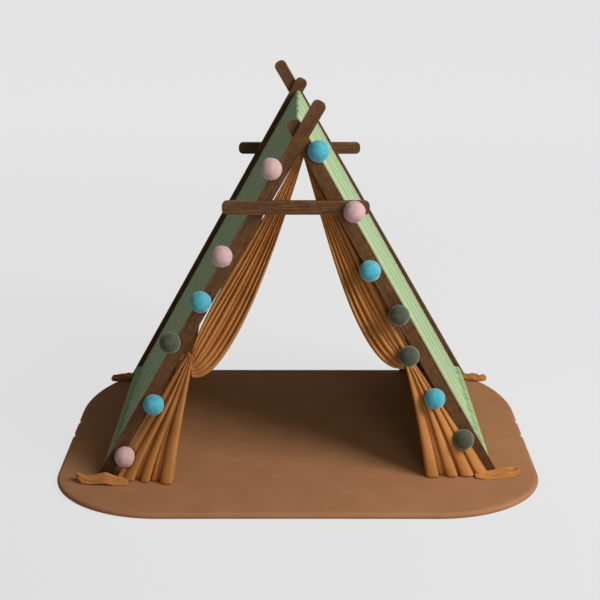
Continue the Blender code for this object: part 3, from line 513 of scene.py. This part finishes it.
curtainSettings = {
    # Folds are (middle, half width, middle at the hem, half width at the hem, height) as
    # shares of the strip, from the edge by the leg to the free edge.
    "outer": dict(
        swagFree=((-0.026, 1.138), (0.077, 0.790), (0.222, 0.352), (0.352, 0.374)),
        swagLeg=((-0.012, 1.146), (0.090, 0.920), (0.345, 0.560), (0.353, 0.452)),
        fanFree=((0.350, 0.448), (0.360, 0.350), (0.395, 0.245), (0.418, 0.0235)),
        fanLeg=((0.362, 0.462), (0.415, 0.385), (0.545, 0.165)),
        swagFolds=((0.06, 0.080, 0.04, 0.060, 0.80), (0.19, 0.075, 0.12, 0.055, 0.90),
                   (0.29, 0.045, 0.25, 0.075, 0.75), (0.40, 0.065, 0.42, 0.070, 0.85),
                   (0.54, 0.050, 0.53, 0.040, 0.30), (0.67, 0.075, 0.66, 0.080, 1.00),
                   (0.81, 0.060, 0.80, 0.065, 0.85), (0.94, 0.070, 0.94, 0.075, 0.95)),
        fanFolds=((0.11, 0.110, 0.02, 0.070, 0.75), (0.40, 0.090, 0.19, 0.105, 0.95),
                  (0.61, 0.090, 0.49, 0.092, 0.95), (0.71, 0.040, 0.63, 0.042, 0.42),
                  (0.87, 0.125, 0.87, 0.115, 1.00)),
        front=dict(fanEnd=(0.612, 0.0235), hemOut=(0.052, 0.082), seed=1.0),
        rear=dict(fanEnd=(0.668, 0.0235), hemOut=(0.023, 0.036), seed=2.0),
    ),
    "inner": dict(
        swagFree=((0.012, 1.138), (0.120, 0.760), (0.208, 0.385), (0.354, 0.397)),
        swagLeg=((0.026, 1.146), (0.165, 0.875), (0.352, 0.565), (0.372, 0.455)),
        fanFree=((0.357, 0.432), (0.372, 0.350), (0.405, 0.260), (0.437, 0.0235)),
        fanLeg=((0.374, 0.444), (0.440, 0.350), (0.540, 0.200)),
        swagFolds=((0.06, 0.075, 0.05, 0.060, 0.80), (0.25, 0.115, 0.21, 0.100, 1.00),
                   (0.43, 0.060, 0.38, 0.060, 0.70), (0.54, 0.045, 0.50, 0.045, 0.35),
                   (0.65, 0.065, 0.62, 0.070, 0.90), (0.79, 0.065, 0.78, 0.070, 0.85),
                   (0.93, 0.070, 0.93, 0.072, 0.95)),
        fanFolds=((0.11, 0.085, 0.12, 0.085, 0.75), (0.33, 0.110, 0.35, 0.108, 0.95),
                  (0.56, 0.085, 0.585, 0.098, 0.95), (0.70, 0.050, 0.735, 0.050, 0.28),
                  (0.88, 0.115, 0.90, 0.105, 1.00)),
        front=dict(fanEnd=(0.655, 0.0235), hemOut=(0.042, 0.048), seed=3.0),
        rear=dict(fanEnd=(0.668, 0.0235), hemOut=(0.041, 0.048), seed=4.0),
    ),
    # A fold's shape is how open the valleys are, then how far its side bulges over its foot.
    "swagShape": (1.25, 0.06), "fanShape": (0.70, 0.22),
    # The swag hangs behind the leg and comes forward into its layer over a part of its way.
    "behind": 0.024, "forward": (0.60, 0.94),
    # Depth of the folds. The swag's is also limited by how far forward and how wide it is.
    "swagDepth": 0.0215, "gatherDepth": 0.0115, "looseDepth": 0.011, "widthShare": 0.15,
    "fanDepth": (0.008, 0.024), "tieDepth": 0.0075,
    "valley": 0.0035, "ripple": 0.0007, "legGap": 0.0012, "ballGap": 0.0022, "matGap": 0.0010,
    "flareBulge": 0.10, "flareDepth": 0.22, "flareSide": 0.020,
    "columns": 220, "swagRows": 96, "tieRows": 8, "fanRows": 84, "thickness": 0.0010,
    # Width over which the weave is laid out. The strip is only about 0.2 m wide, so across it
    # the threads come out finer than the material's pitch.
    "uvWidth": 0.95,
}


def bezierPoints(handles, steps):
    return interpolate_bezier(*[Vector((x, 0.0, z)) for x, z in handles], steps)


def curtainRows(kind, end):
    # Each row is (leg end, free end, fold depth, share of the swag's folds, way down the
    # part), and the parts are the swag, the tie and the fan.
    s = curtainSettings
    sizes, place = s[kind], s[kind][end]
    back = backOf[kind]
    beside = tent["layer"] / 2
    rows = []
    legs = bezierPoints(sizes["swagLeg"], s["swagRows"])
    frees = bezierPoints(sizes["swagFree"], s["swagRows"])
    for i, (a, b) in enumerate(zip(legs, frees)):
        q = i / (s["swagRows"] - 1)
        forward = ease(q, *s["forward"])
        depth = s["swagDepth"] * (0.35 + 0.65 * math.sin(math.pi * min(q * 1.04, 1.0)) ** 0.8)
        a.y = b.y = -back + s["behind"] * (1 - forward) - beside * forward
        depth = min(depth, s["gatherDepth"] + s["looseDepth"] * (1 - forward),
                    s["widthShare"] * (b - a).length)
        rows.append((a, b, depth, 1.0, q))
    swagLeg, swagFree = rows[-1][0], rows[-1][1]
    fanLegs = bezierPoints(sizes["fanLeg"] + (place["fanEnd"],), s["fanRows"])
    fanFrees = bezierPoints(sizes["fanFree"], s["fanRows"])
    fan = []
    for i, (a, b) in enumerate(zip(fanLegs, fanFrees)):
        q = i / (s["fanRows"] - 1)
        legOut, freeOut = place["hemOut"]
        a.y = -back - beside - (legOut - beside) * ease(q, 0.62, 1.0)
        b.y = -back - beside - (freeOut - beside) * ease(q, 0.15, 1.0)
        top, low = s["fanDepth"]
        fan.append((a, b, top + (low - top) * ease(q, 0.0, 0.75), 1 - ease(q, 0.0, 0.16), q))
    topLeg, topFree = fan[0][0], fan[0][1]
    knot = Vector((topLeg.x + 0.006, (swagLeg.y + topLeg.y) / 2, topLeg.z + 0.004))
    for i in range(1, s["tieRows"]):
        q = i / s["tieRows"]
        a = swagLeg * (1 - q) ** 2 + (knot + Vector((0, 0, 0.004))) * 2 * q * (1 - q) + topLeg * q ** 2
        b = swagFree * (1 - q) ** 2 + (knot - Vector((0, 0, 0.010))) * 2 * q * (1 - q) + topFree * q ** 2
        rows.append((a, b, s["tieDepth"], 1.0, 1.0))
    return rows + fan


def foldAt(share, folds, down, seed, shape):
    # Height of the cloth here, 0 in a valley and 1 on the tallest crest, and its bulge
    height, bulge = 0.0, 0.0
    sharp, swell = shape
    toHem = ease(down, 0.35, 1.0)
    for number, (middle, half, hemMiddle, hemHalf, tall) in enumerate(folds):
        drift = 0.010 * wobble(down * 2.4, number * 1.7, 0.0, seed)
        reach = half + (hemHalf - half) * toHem
        away = (share - middle - (hemMiddle - middle) * toHem - drift) / reach
        if abs(away) < 1:
            found = tall * (0.94 + 0.25 * wobble(down * 2.0, number * 2.3, 3.0, seed))
            found *= (1 - away * away) ** sharp
            if found > height:
                height, bulge = found, swell * reach * math.sin(math.pi * away)
    return height, bulge


def pushFromLeg(point, kind):
    # Local place across the leg, from its middle line towards the middle of the tent.
    lean, gap, back = leanOf[kind], curtainSettings["legGap"], backOf[kind]
    down = tent["crossing"] - point.z
    shift = -tent["shift"] if kind == "outer" else tent["shift"]
    across = (shift + down * math.tan(lean) - point.x) * math.cos(lean)
    room = tent["width"] / 2 + gap
    if abs(across) > room or not -back - tent["layer"] - gap < point.y < -back + gap:
        return point
    toFront = point.y + back + tent["layer"] + gap
    toSide = room - across
    if toSide < toFront:
        point.x -= toSide / math.cos(lean)
    else:
        point.y -= toFront
    return point


ballSettings = dict(
    radius=0.036, inside=0.0004, seat=0.028, sunk=0.0006, lump=0.0007, fineLump=0.00035,
    fibres=900, bareFrom=0.72, fibreRoot=0.0008, fibreRise=(0.0006, 0.0013),
    fibreRun=(0.0008, 0.0022), fibreWidth=0.00010,
    felts=("pink", "pink", "blue", "olive", "blue", "pink", "blue", "blue", "olive", "olive",
           "blue", "olive", "pink"),
)


def ballMiddles():
    # From the nodes' own boxes, so that the felt sits where the solids do. A ball's flat is
    # behind it, so only the front of its box is a full radius away.
    found = []
    for number in range(1, len(ballSettings["felts"]) + 1):
        node = f"felt_ball_{number:02d}"
        middle = Vector(boxMiddle(node))
        middle.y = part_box(node)[0][1] + ballSettings["radius"]
        found.append(middle)
    return found


def pushFromBalls(point, middles, side):
    room = ballSettings["radius"] + curtainSettings["ballGap"]
    for middle in middles:
        mirrored = Vector((side * middle.x, middle.y, middle.z))
        away = point - mirrored
        if away.length < room:
            away.y = abs(away.y) + 0.001
            point = mirrored + away.normalized() * room
    return point


rearRoll = dict(half=0.033, lift=0.024, flatTo=0.0, curl=0.0, cut="roll")
tailSettings = {
    # Middle line as start, control and end; half width; height; how far along it stays flat
    # beside the foot; how far its tip curls up; shape of a cut across.
    "outerfront": dict(line=((0.572, -0.513), (0.660, -0.516), (0.744, -0.506)), half=0.027, lift=0.023,
                       flatTo=0.45, curl=0.012, cut="sheet"),
    "innerfront": dict(line=((0.605, -0.462), (0.680, -0.466), (0.752, -0.456)), half=0.030, lift=0.022,
                       flatTo=0.60, curl=0.014, cut="sheet"),
    "outerrear": dict(line=((0.672, -0.408), (0.712, -0.404), (0.764, -0.388)), **rearRoll),
    "innerrear": dict(line=((0.672, -0.400), (0.712, -0.398), (0.760, -0.384)), **rearRoll),
    # A thin sheet in small folds with a raised rear rim, as (middle, half width, height)
    "sheet": dict(tipFrom=0.78, tipDrop=0.2, uneven=0.010, section=(
        (-0.82, 0.18, 0.50), (-0.46, 0.19, 0.80), (-0.10, 0.17, 0.45), (0.20, 0.16, 0.70),
        (0.68, 0.32, 1.00))),
    # A thick roll: the cloth runs to the far side, rolls over and comes back on top
    "roll": dict(tipFrom=0.86, tipDrop=0.5, uneven=0.003, section=(
        (-1.00, 0.10), (-0.86, 0.02), (-0.62, 0.10), (-0.40, 0.20), (-0.18, 0.10), (0.10, 0.04),
        (0.42, 0.02), (0.80, 0.02), (0.97, 0.26), (1.00, 0.60), (0.93, 0.90), (0.66, 1.00),
        (0.36, 0.82), (0.12, 0.74), (-0.16, 0.92), (-0.50, 0.80), (-0.72, 0.48))),
    "rows": 64, "columns": 97, "footEdge": 0.689, "pocketEdge": 0.671,
    "beforeLeg": 0.002, "roundLeg": 0.011, "behindLeg": 0.003, "matGap": 0.0012, "sink": 0.010,
}


def rollAt(section, way, q, seed):
    # Place across and height on a roll, between two corners of its section
    number = min(int(way), len(section) - 2)
    (w, h), (nextW, nextH) = section[number:number + 2]
    w += (nextW - w) * (way - number)
    h += (nextH - h) * ease(way - number, 0.0, 1.0)
    return w, h * (1 + 0.4 * wobble(q * 4.0, way * 0.5, 1.0, seed))


def foldedAt(section, place, q, seed):
    # The same on a folded sheet, whose crests lean over
    w, h = place, 0.0
    for middle, half, tall in section:
        away = (place - middle - 0.10 * wobble(q * 3.0, middle * 5, 2.0, seed)) / half
        if abs(away) < 1:
            found = tall * (1 + 0.6 * wobble(q * 3.0, middle * 7, 5.0, seed)) * (1 - away * away) ** 0.55
            if found > h:
                w, h = place + 0.28 * half * math.sin(math.pi * away), found
    return w, h


def tailPoints(kind, end):
    # The loose corner of the hem, which lies on the mat by the foot
    s = tailSettings
    sizes = s[kind + end]
    cut = s[sizes["cut"]]
    section, rolled = cut["section"], sizes["cut"] == "roll"
    start, control, stop = [Vector(spot) for spot in sizes["line"]]
    seed = curtainSettings[kind][end]["seed"] * 5.3
    beforeLeg = -backOf[kind] - tent["layer"] - s["beforeLeg"]
    cornerX, cornerY = matSettings["rearCorner"]
    points = []
    for r in range(s["rows"]):
        q = r / (s["rows"] - 1)
        run = ((control - start) * (1 - q) + (stop - control) * q).normalized()
        across = Vector((-run.y, run.x))
        swell = 0.70 + 0.30 * math.sin(math.pi * min(0.10 + 0.85 * q, 1.0))
        swell += 0.10 * wobble(q * 3.5, 0, 5.0, seed)
        tip = 1 - ease(q, cut["tipFrom"], 1.05)
        width = sizes["half"] * swell * math.sqrt(max(tip, 0.0))
        grow = 0.55 + 0.45 * ease(q, sizes["flatTo"] - 0.2, sizes["flatTo"] + 0.05)
        lift = sizes["lift"] * grow * (0.85 + 0.15 * math.sin(2.4 * q + seed))
        lift *= 1 - cut["tipDrop"] * ease(q, 0.90, 1.0)
        middle = start * (1 - q) ** 2 + control * 2 * q * (1 - q) + stop * q ** 2
        middle += across * 0.003 * math.sin(5 * q + seed)
        for c in range(s["columns"]):
            share = c / (s["columns"] - 1)
            way = share * (len(section) - 1)
            w, h = rollAt(section, way, q, seed) if rolled else foldedAt(section, 2 * share - 1, q, seed)
            spot = middle + across * width * (w + 0.12 * wobble(q * 5.0, way * 0.3, 2.0, seed))
            uneven = cut["uneven"] * wobble(way * 0.35, q * 1.5, 0.0, seed)
            spot += run * uneven * ease(q, 0.3, 1.0)
            # The cloth keeps clear of the leg: a sheet stays in front, a roll goes round it.
            if rolled and spot.y > beforeLeg + s["roundLeg"]:
                spot.x = max(spot.x, s["pocketEdge"])
                if spot.x < s["footEdge"]:
                    spot.y = max(spot.y, s["behindLeg"] - backOf[kind])
            elif spot.x < s["footEdge"]:
                spot.y = min(spot.y, beforeLeg)
            crumple = 0.0012 * wobble(q * 16, way * 0.8, 4.0, seed)
            curl = sizes["curl"] * ease(q, 0.86, 1.0) * (0.7 + 0.6 * wobble(way * 0.6, 0.0, 7.0, seed))
            height = max(lift * h + crumple + curl, 0.0)
            if rolled:
                # Past the mat's rounded corner the roll sinks towards the floor.
                beyond = math.hypot((spot.x - matSettings["side"] + cornerX) / cornerX,
                                    (-spot.y - matSettings["rear"] + cornerY) / cornerY)
                height -= s["sink"] * ease(beyond, 1.03, 1.14) * (1 - ease(h, 0.1, 0.8))
            points.append((spot.x, spot.y, tent["matTop"] + s["matGap"] + height))
    return points


def makeCurtain(name, kind, side, end):
    s = curtainSettings
    sizes = s[kind]
    seed = sizes[end]["seed"]
    rows = curtainRows(kind, end)
    cols = s["columns"] + 1
    middles = ballMiddles() if end == "front" else []
    verts, coords = [], []
    runs = 0.0
    previous = None
    for legEnd, freeEnd, depth, swagShare, down in rows:
        middle = (legEnd + freeEnd) / 2
        if previous is not None:
            runs += (middle - previous).length
        previous = middle
        strip = freeEnd - legEnd
        inFan = swagShare < 1
        flare = ease(down, 0.88, 1.0) if inFan else 0.0
        for c in range(cols):
            share = c / (cols - 1)
            height, bulge = 0.0, 0.0
            if swagShare > 0:
                found = foldAt(share, sizes["swagFolds"], 1.0 if inFan else down, seed, s["swagShape"])
                height, bulge = found[0] * swagShare, found[1] * swagShare
            if inFan:
                found = foldAt(share, sizes["fanFolds"], down, seed + 7, s["fanShape"])
                height += found[0] * (1 - swagShare)
                bulge += found[1] * (1 - swagShare)
            sideShare = 0.55 + 0.45 * ease(share, 0.0, 0.3)
            point = legEnd.lerp(freeEnd, share) + strip * bulge * (1 + s["flareBulge"] * flare)
            point.y += s["valley"] - depth * sideShare * height * (1 + s["flareDepth"] * flare)
            point.y += s["ripple"] * wobble(share * 9, runs * 14, 0, seed)
            point += strip * s["flareSide"] * flare * height * wobble(share * 6, 0.0, 5.0, seed)
            point = pushFromLeg(point, kind)
            point = pushFromBalls(point, middles, side)
            verts.append((side * point.x, point.y, max(point.z, tent["matTop"] + s["matGap"])))
            coords.append((share * s["uvWidth"], runs))
    faces = gridFaces(len(rows), cols)
    faces += gridFaces(tailSettings["rows"], tailSettings["columns"], len(verts))
    for i, (x, y, z) in enumerate(tailPoints(kind, end)):
        r, c = divmod(i, tailSettings["columns"])
        verts.append((side * x, y, z))
        coords.append((s["uvWidth"] + c * 0.003, runs - 0.1 + r * 0.004))
    if side > 0:
        faces = [face[::-1] for face in faces]
    if end == "rear":
        verts = [(-x, -y, z) for x, y, z in verts]
    piece = pieceFrom(name.replace("curtain", "curtain_cloth"), verts, faces, coords)
    thicken(piece, s["thickness"])
    dress(piece, ochreCotton, name)


makeCurtain("front_left_curtain", "outer", -1, "front")
makeCurtain("front_right_curtain", "inner", 1, "front")
makeCurtain("rear_right_curtain", "outer", -1, "rear")
makeCurtain("rear_left_curtain", "inner", 1, "rear")
print("curtains made")


# Tapes: the tabs behind the gathers and the loops round the ridge pole

tapeSettings = dict(
    tabRows=9, tabColumns=25, tabBow=0.0003, tabThickness=0.0014,
    loopRadius=0.0073, loopEnds=0.0022, loopRows=25, loopColumns=7, loopThickness=0.0009,
)


def makeTab(node):
    s = tapeSettings
    low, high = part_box(node)
    middle = boxMiddle(node)
    half = [(b - a) / 2 for a, b in zip(low, high)]
    verts, coords = [], []
    for r in range(s["tabRows"]):
        for c in range(s["tabColumns"]):
            u, v = 2 * c / (s["tabColumns"] - 1) - 1, 2 * r / (s["tabRows"] - 1) - 1
            y = middle[1] + s["tabBow"] * math.sin(4 * u)
            verts.append((middle[0] + half[0] * u, y, middle[2] + half[2] * v))
            coords.append((half[0] * u, half[2] * v))
    piece = pieceFrom(node + "_tape", verts, gridFaces(s["tabRows"], s["tabColumns"]), coords)
    thicken(piece, s["tabThickness"])
    dress(piece, ochreTape, node)


def makeLoop(node):
    # Round the pole from one end of the tape to the other. Both ends hang to the curtain.
    s = tapeSettings
    low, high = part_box(node)
    radius, width = s["loopRadius"], high[1] - low[1]
    path = [(-s["loopEnds"], low[2])]
    for step in range(s["loopRows"]):
        angle = math.radians(250 - 320 * step / (s["loopRows"] - 1))
        path.append((radius * math.cos(angle), tent["crossing"] + radius * math.sin(angle)))
    path.append((s["loopEnds"], low[2]))
    verts, coords = [], []
    length = 0.0
    for r, (x, z) in enumerate(path):
        if r:
            length += math.dist(path[r - 1], path[r])
        for c in range(s["loopColumns"]):
            y = low[1] + width * c / (s["loopColumns"] - 1)
            verts.append((x, y, z))
            coords.append((y, length))
    piece = pieceFrom(node + "_tape", verts, gridFaces(len(path), s["loopColumns"]), coords)
    thicken(piece, s["loopThickness"])
    dress(piece, ochreTape, node)


for end in ("front", "rear"):
    makeLoop(f"{end}_curtain_loop")
    for hand in ("left", "right"):
        makeTab(f"{end}_{hand}_curtain_tab")
print("tapes made")


# Felt balls: matted wool with a flat where it is glued and loose fibres all round

def makeBall(number, middle, felt):
    s = ballSettings
    radius = s["radius"] - s["inside"]
    rng = random.Random(100 + number)
    shape = bmesh.new()
    bmesh.ops.create_icosphere(shape, subdivisions=5, radius=radius)
    for vert in shape.verts:
        way = vert.co.normalized()
        lumps = s["lump"] * wobble(way.x * 2.2, way.y * 2.2, way.z * 2.2, number)
        lumps += s["fineLump"] * wobble(way.x * 14, way.y * 14, way.z * 14, number)
        vert.co = way * (radius - s["sunk"] + lumps)
        vert.co.y = min(vert.co.y, s["seat"])
    # Loose fibres: slivers about 1 to 2 mm long that lean off the surface
    for _ in range(s["fibres"]):
        way = Vector((rng.gauss(0, 1), rng.gauss(0, 1), rng.gauss(0, 1))).normalized()
        if way.y > s["bareFrom"]:
            continue
        side = way.orthogonal().normalized()
        side.rotate(Matrix.Rotation(rng.uniform(0, 6.28), 3, way))
        foot = way * (radius - s["fibreRoot"])
        tip = foot + way * rng.uniform(*s["fibreRise"]) + side * rng.uniform(*s["fibreRun"])
        thick = side.cross(way) * s["fibreWidth"]
        shape.faces.new([shape.verts.new(corner) for corner in (foot - thick, foot + thick, tip)])
    mesh = bpy.data.meshes.new(f"felt_ball_wool_{number:02d}")
    shape.to_mesh(mesh)
    shape.free()
    mesh.transform(Matrix.Translation(middle))
    mesh.shade_smooth()
    piece = bpy.data.objects.new(mesh.name, mesh)
    scene.collection.objects.link(piece)
    dress(piece, felts[felt], f"felt_ball_{number:02d}")


for number, (middle, felt) in enumerate(zip(ballMiddles(), ballSettings["felts"]), start=1):
    makeBall(number, middle, felt)
print("felt balls made")


# Mat: padded canvas with a rolled rim, drawn in at its notches

def matOutline():
    # Half of the outline from the middle of the front to the middle of the rear.
    s = matSettings
    corners = []
    x = 0.0
    while x < s["side"] - s["frontCorner"][0]:
        corners.append((x, -s["front"]))
        x += s["spacing"]
    turnings = ((s["frontCorner"], s["frontCorner"][1] - s["front"], -90),
                (s["rearCorner"], s["rear"] - s["rearCorner"][1], 0))
    for (reachX, reachY), middleY, start in turnings:
        y = corners[-1][1] + s["spacing"] / 2
        while start == 0 and y < middleY:
            corners.append((s["side"], y))
            y += s["spacing"] / 2
        steps = int((reachX + reachY) / 2 * math.pi / 2 / s["spacing"])
        for step in range(steps + 1):
            angle = math.radians(start + 90 * step / steps)
            x = s["side"] - reachX * (1 - math.cos(angle))
            corners.append((x, middleY + reachY * math.sin(angle)))
    x = s["side"] - s["rearCorner"][0] - s["spacing"]
    while x > 0:
        corners.append((x, s["rear"]))
        x -= s["spacing"]
    corners.append((0.0, s["rear"]))
    shaped = []
    for x, y in corners:
        for notch in s["notches"]:
            if x > s["notchFrom"]:
                x -= s["notchDepth"] * max(0.0, 1 - abs(y - notch) / (s["notchWidth"] / 2)) ** 1.3
        shaped.append((x, y))
    return shaped


def makeMat():
    s = matSettings
    half = matOutline()
    outline = half + [(-x, y) for x, y in reversed(half[1:-1])]
    count = len(outline)
    centre = Vector(s["centre"])
    verts, rings = [], []

    def ring(inset, share, height, wrinkle):
        rings.append(len(verts))
        for x, y in outline:
            spoke = Vector((x, y)) - centre
            reach = spoke.length
            spot = centre + spoke * (share if share is not None else (reach - inset) / reach)
            near = min([abs(y - notch) for notch in s["notches"]]) if abs(x) > s["pullFrom"] else 1.0
            pulled = math.exp(-(near / s["pullWidth"]) ** 2) * math.exp(-inset / 0.05)
            swell = s["swell"] * wobble(spot.x * 5, spot.y * 5, 0, 3.0) * wrinkle
            swell += s["fineSwell"] * wobble(spot.x * 18, spot.y * 18, 0, 6.0) * wrinkle
            puffs = s["puffs"] * wobble(spot.x * 26, spot.y * 26, 0, 8.0) * wrinkle
            puffs *= math.exp(-inset / 0.03)
            z = min(height + swell + puffs - s["pullDepth"] * pulled * wrinkle, s["highest"])
            verts.append((spot.x, spot.y, z))

    for inset, height in s["under"]:
        ring(inset, None, height, 0.0)
    for inset, height in s["rim"]:
        ring(inset, None, height, s["seamWrinkles"] if inset < 0.004 else 1.0)
    for inset in s["insets"]:
        ring(inset, None, s["flat"], 1.0)
    for share in s["shares"]:
        ring(s["deepInset"], share, s["flat"], 1.0)
    faces = []
    for a, b in zip(rings, rings[1:]):
        for i in range(count):
            j = (i + 1) % count
            faces.append((a + i, a + j, b + j, b + i))
    faces.append(tuple(reversed(range(rings[0], rings[0] + count))))
    faces.append(tuple(range(rings[-1], rings[-1] + count)))
    coords = [(x, y) for x, y, _ in verts]
    piece = pieceFrom("padded_mat", verts, faces, coords)
    dress(piece, brownCanvas, "mat")


makeMat()
print("mat made")


# Studio: pale floor, soft light from the right, and an even surround

studioSettings = dict(
    floorReach=60.0, floorUnder=0.0008, floorSeen=0.82, lightOfSurround=0.10,
    softboxes=(
        dict(name="soft_key", place=(3.6, -2.5, 3.6), aim=(0.0, -0.1, 0.4), side=2.6, power=250),
        dict(name="front_fill", place=(1.4, -4.8, 1.6), aim=(0.0, -0.3, 0.4), side=1.4, power=38),
    ),
)


def seenRays(add):
    # 1 for rays that show the background: straight from the camera, mirrored or through glass
    rays = add("ShaderNodeLightPath").outputs
    either = add("ShaderNodeMath", {0: rays["Is Camera Ray"], 1: rays["Is Glossy Ray"]},
                 operation="MAXIMUM")
    return add("ShaderNodeMath", {0: either, 1: rays["Is Transmission Ray"]}, operation="MAXIMUM")


def makeFloor():
    # The floor takes shadows as a matt sweep does, and its own glow evens out what is seen.
    s = studioSettings
    corners = [(x * s["floorReach"], y * s["floorReach"], -s["floorUnder"])
               for x, y in ((-1, -1), (1, -1), (1, 1), (-1, 1))]
    floor = pieceFrom("studio_floor", corners, [(0, 1, 2, 3)])
    made, add, shader = newMaterial("pale_studio_floor")
    place = add("ShaderNodeTexCoord").outputs["Object"]
    parts = add("ShaderNodeSeparateXYZ", {"Vector": place})
    far = add("ShaderNodeMapRange", {"Value": parts.outputs["Y"], "From Min": -1.5, "From Max": 6.0})
    seen = add("ShaderNodeValToRGB", {"Fac": far},
               stops=[(0.0, "#ebebeb"), (0.25, "#efefef"), (1.0, "#f7f7f7")])
    grain = add("ShaderNodeTexNoise", {"Vector": place, "Scale": 300.0})
    shade = add("ShaderNodeValToRGB", {"Fac": grain.outputs["Fac"]},
                stops=[(0.3, "#bebebe"), (0.7, "#c1c1c1")])
    feed(shader, {"Base Color": shade, "Roughness": 0.9, "Specular IOR Level": 0.0})
    glow = add("ShaderNodeEmission", {"Color": seen})
    part = add("ShaderNodeMath", {0: seenRays(add), 1: s["floorSeen"]}, operation="MULTIPLY")
    mixed = add("ShaderNodeMixShader", {0: part, 1: shader, 2: glow})
    feed(made.node_tree.nodes["Material Output"], {"Surface": mixed})
    floor.data.materials.append(made)


def makeSurround():
    world = bpy.data.worlds.new("surround")
    scene.world = world
    world.use_nodes = True
    nodes = world.node_tree.nodes
    back, add = nodes["Background"], partial(addNode, world.node_tree)
    feed(back, {"Color": (1, 1, 1, 1), "Strength": studioSettings["lightOfSurround"]})
    seen = add("ShaderNodeBackground", {"Color": linear("#ececec")})
    mixed = add("ShaderNodeMixShader", {0: seenRays(add), 1: back, 2: seen})
    feed(nodes["World Output"], {"Surface": mixed})


def addSoftbox(name, place, aim, side, power):
    # A square softbox. It stands near enough for the light to fall off across the mat.
    lamp = bpy.data.lights.new(name, "AREA")
    lamp.shape = "SQUARE"
    lamp.size = side
    lamp.energy = power
    holder = bpy.data.objects.new(name, lamp)
    holder.location = place
    holder.rotation_euler = (Vector(place) - Vector(aim)).to_track_quat("Z", "Y").to_euler()
    scene.collection.objects.link(holder)


makeFloor()
makeSurround()
for softbox in studioSettings["softboxes"]:
    addSoftbox(**softbox)
scene.view_settings.view_transform = "Standard"
print("studio made")
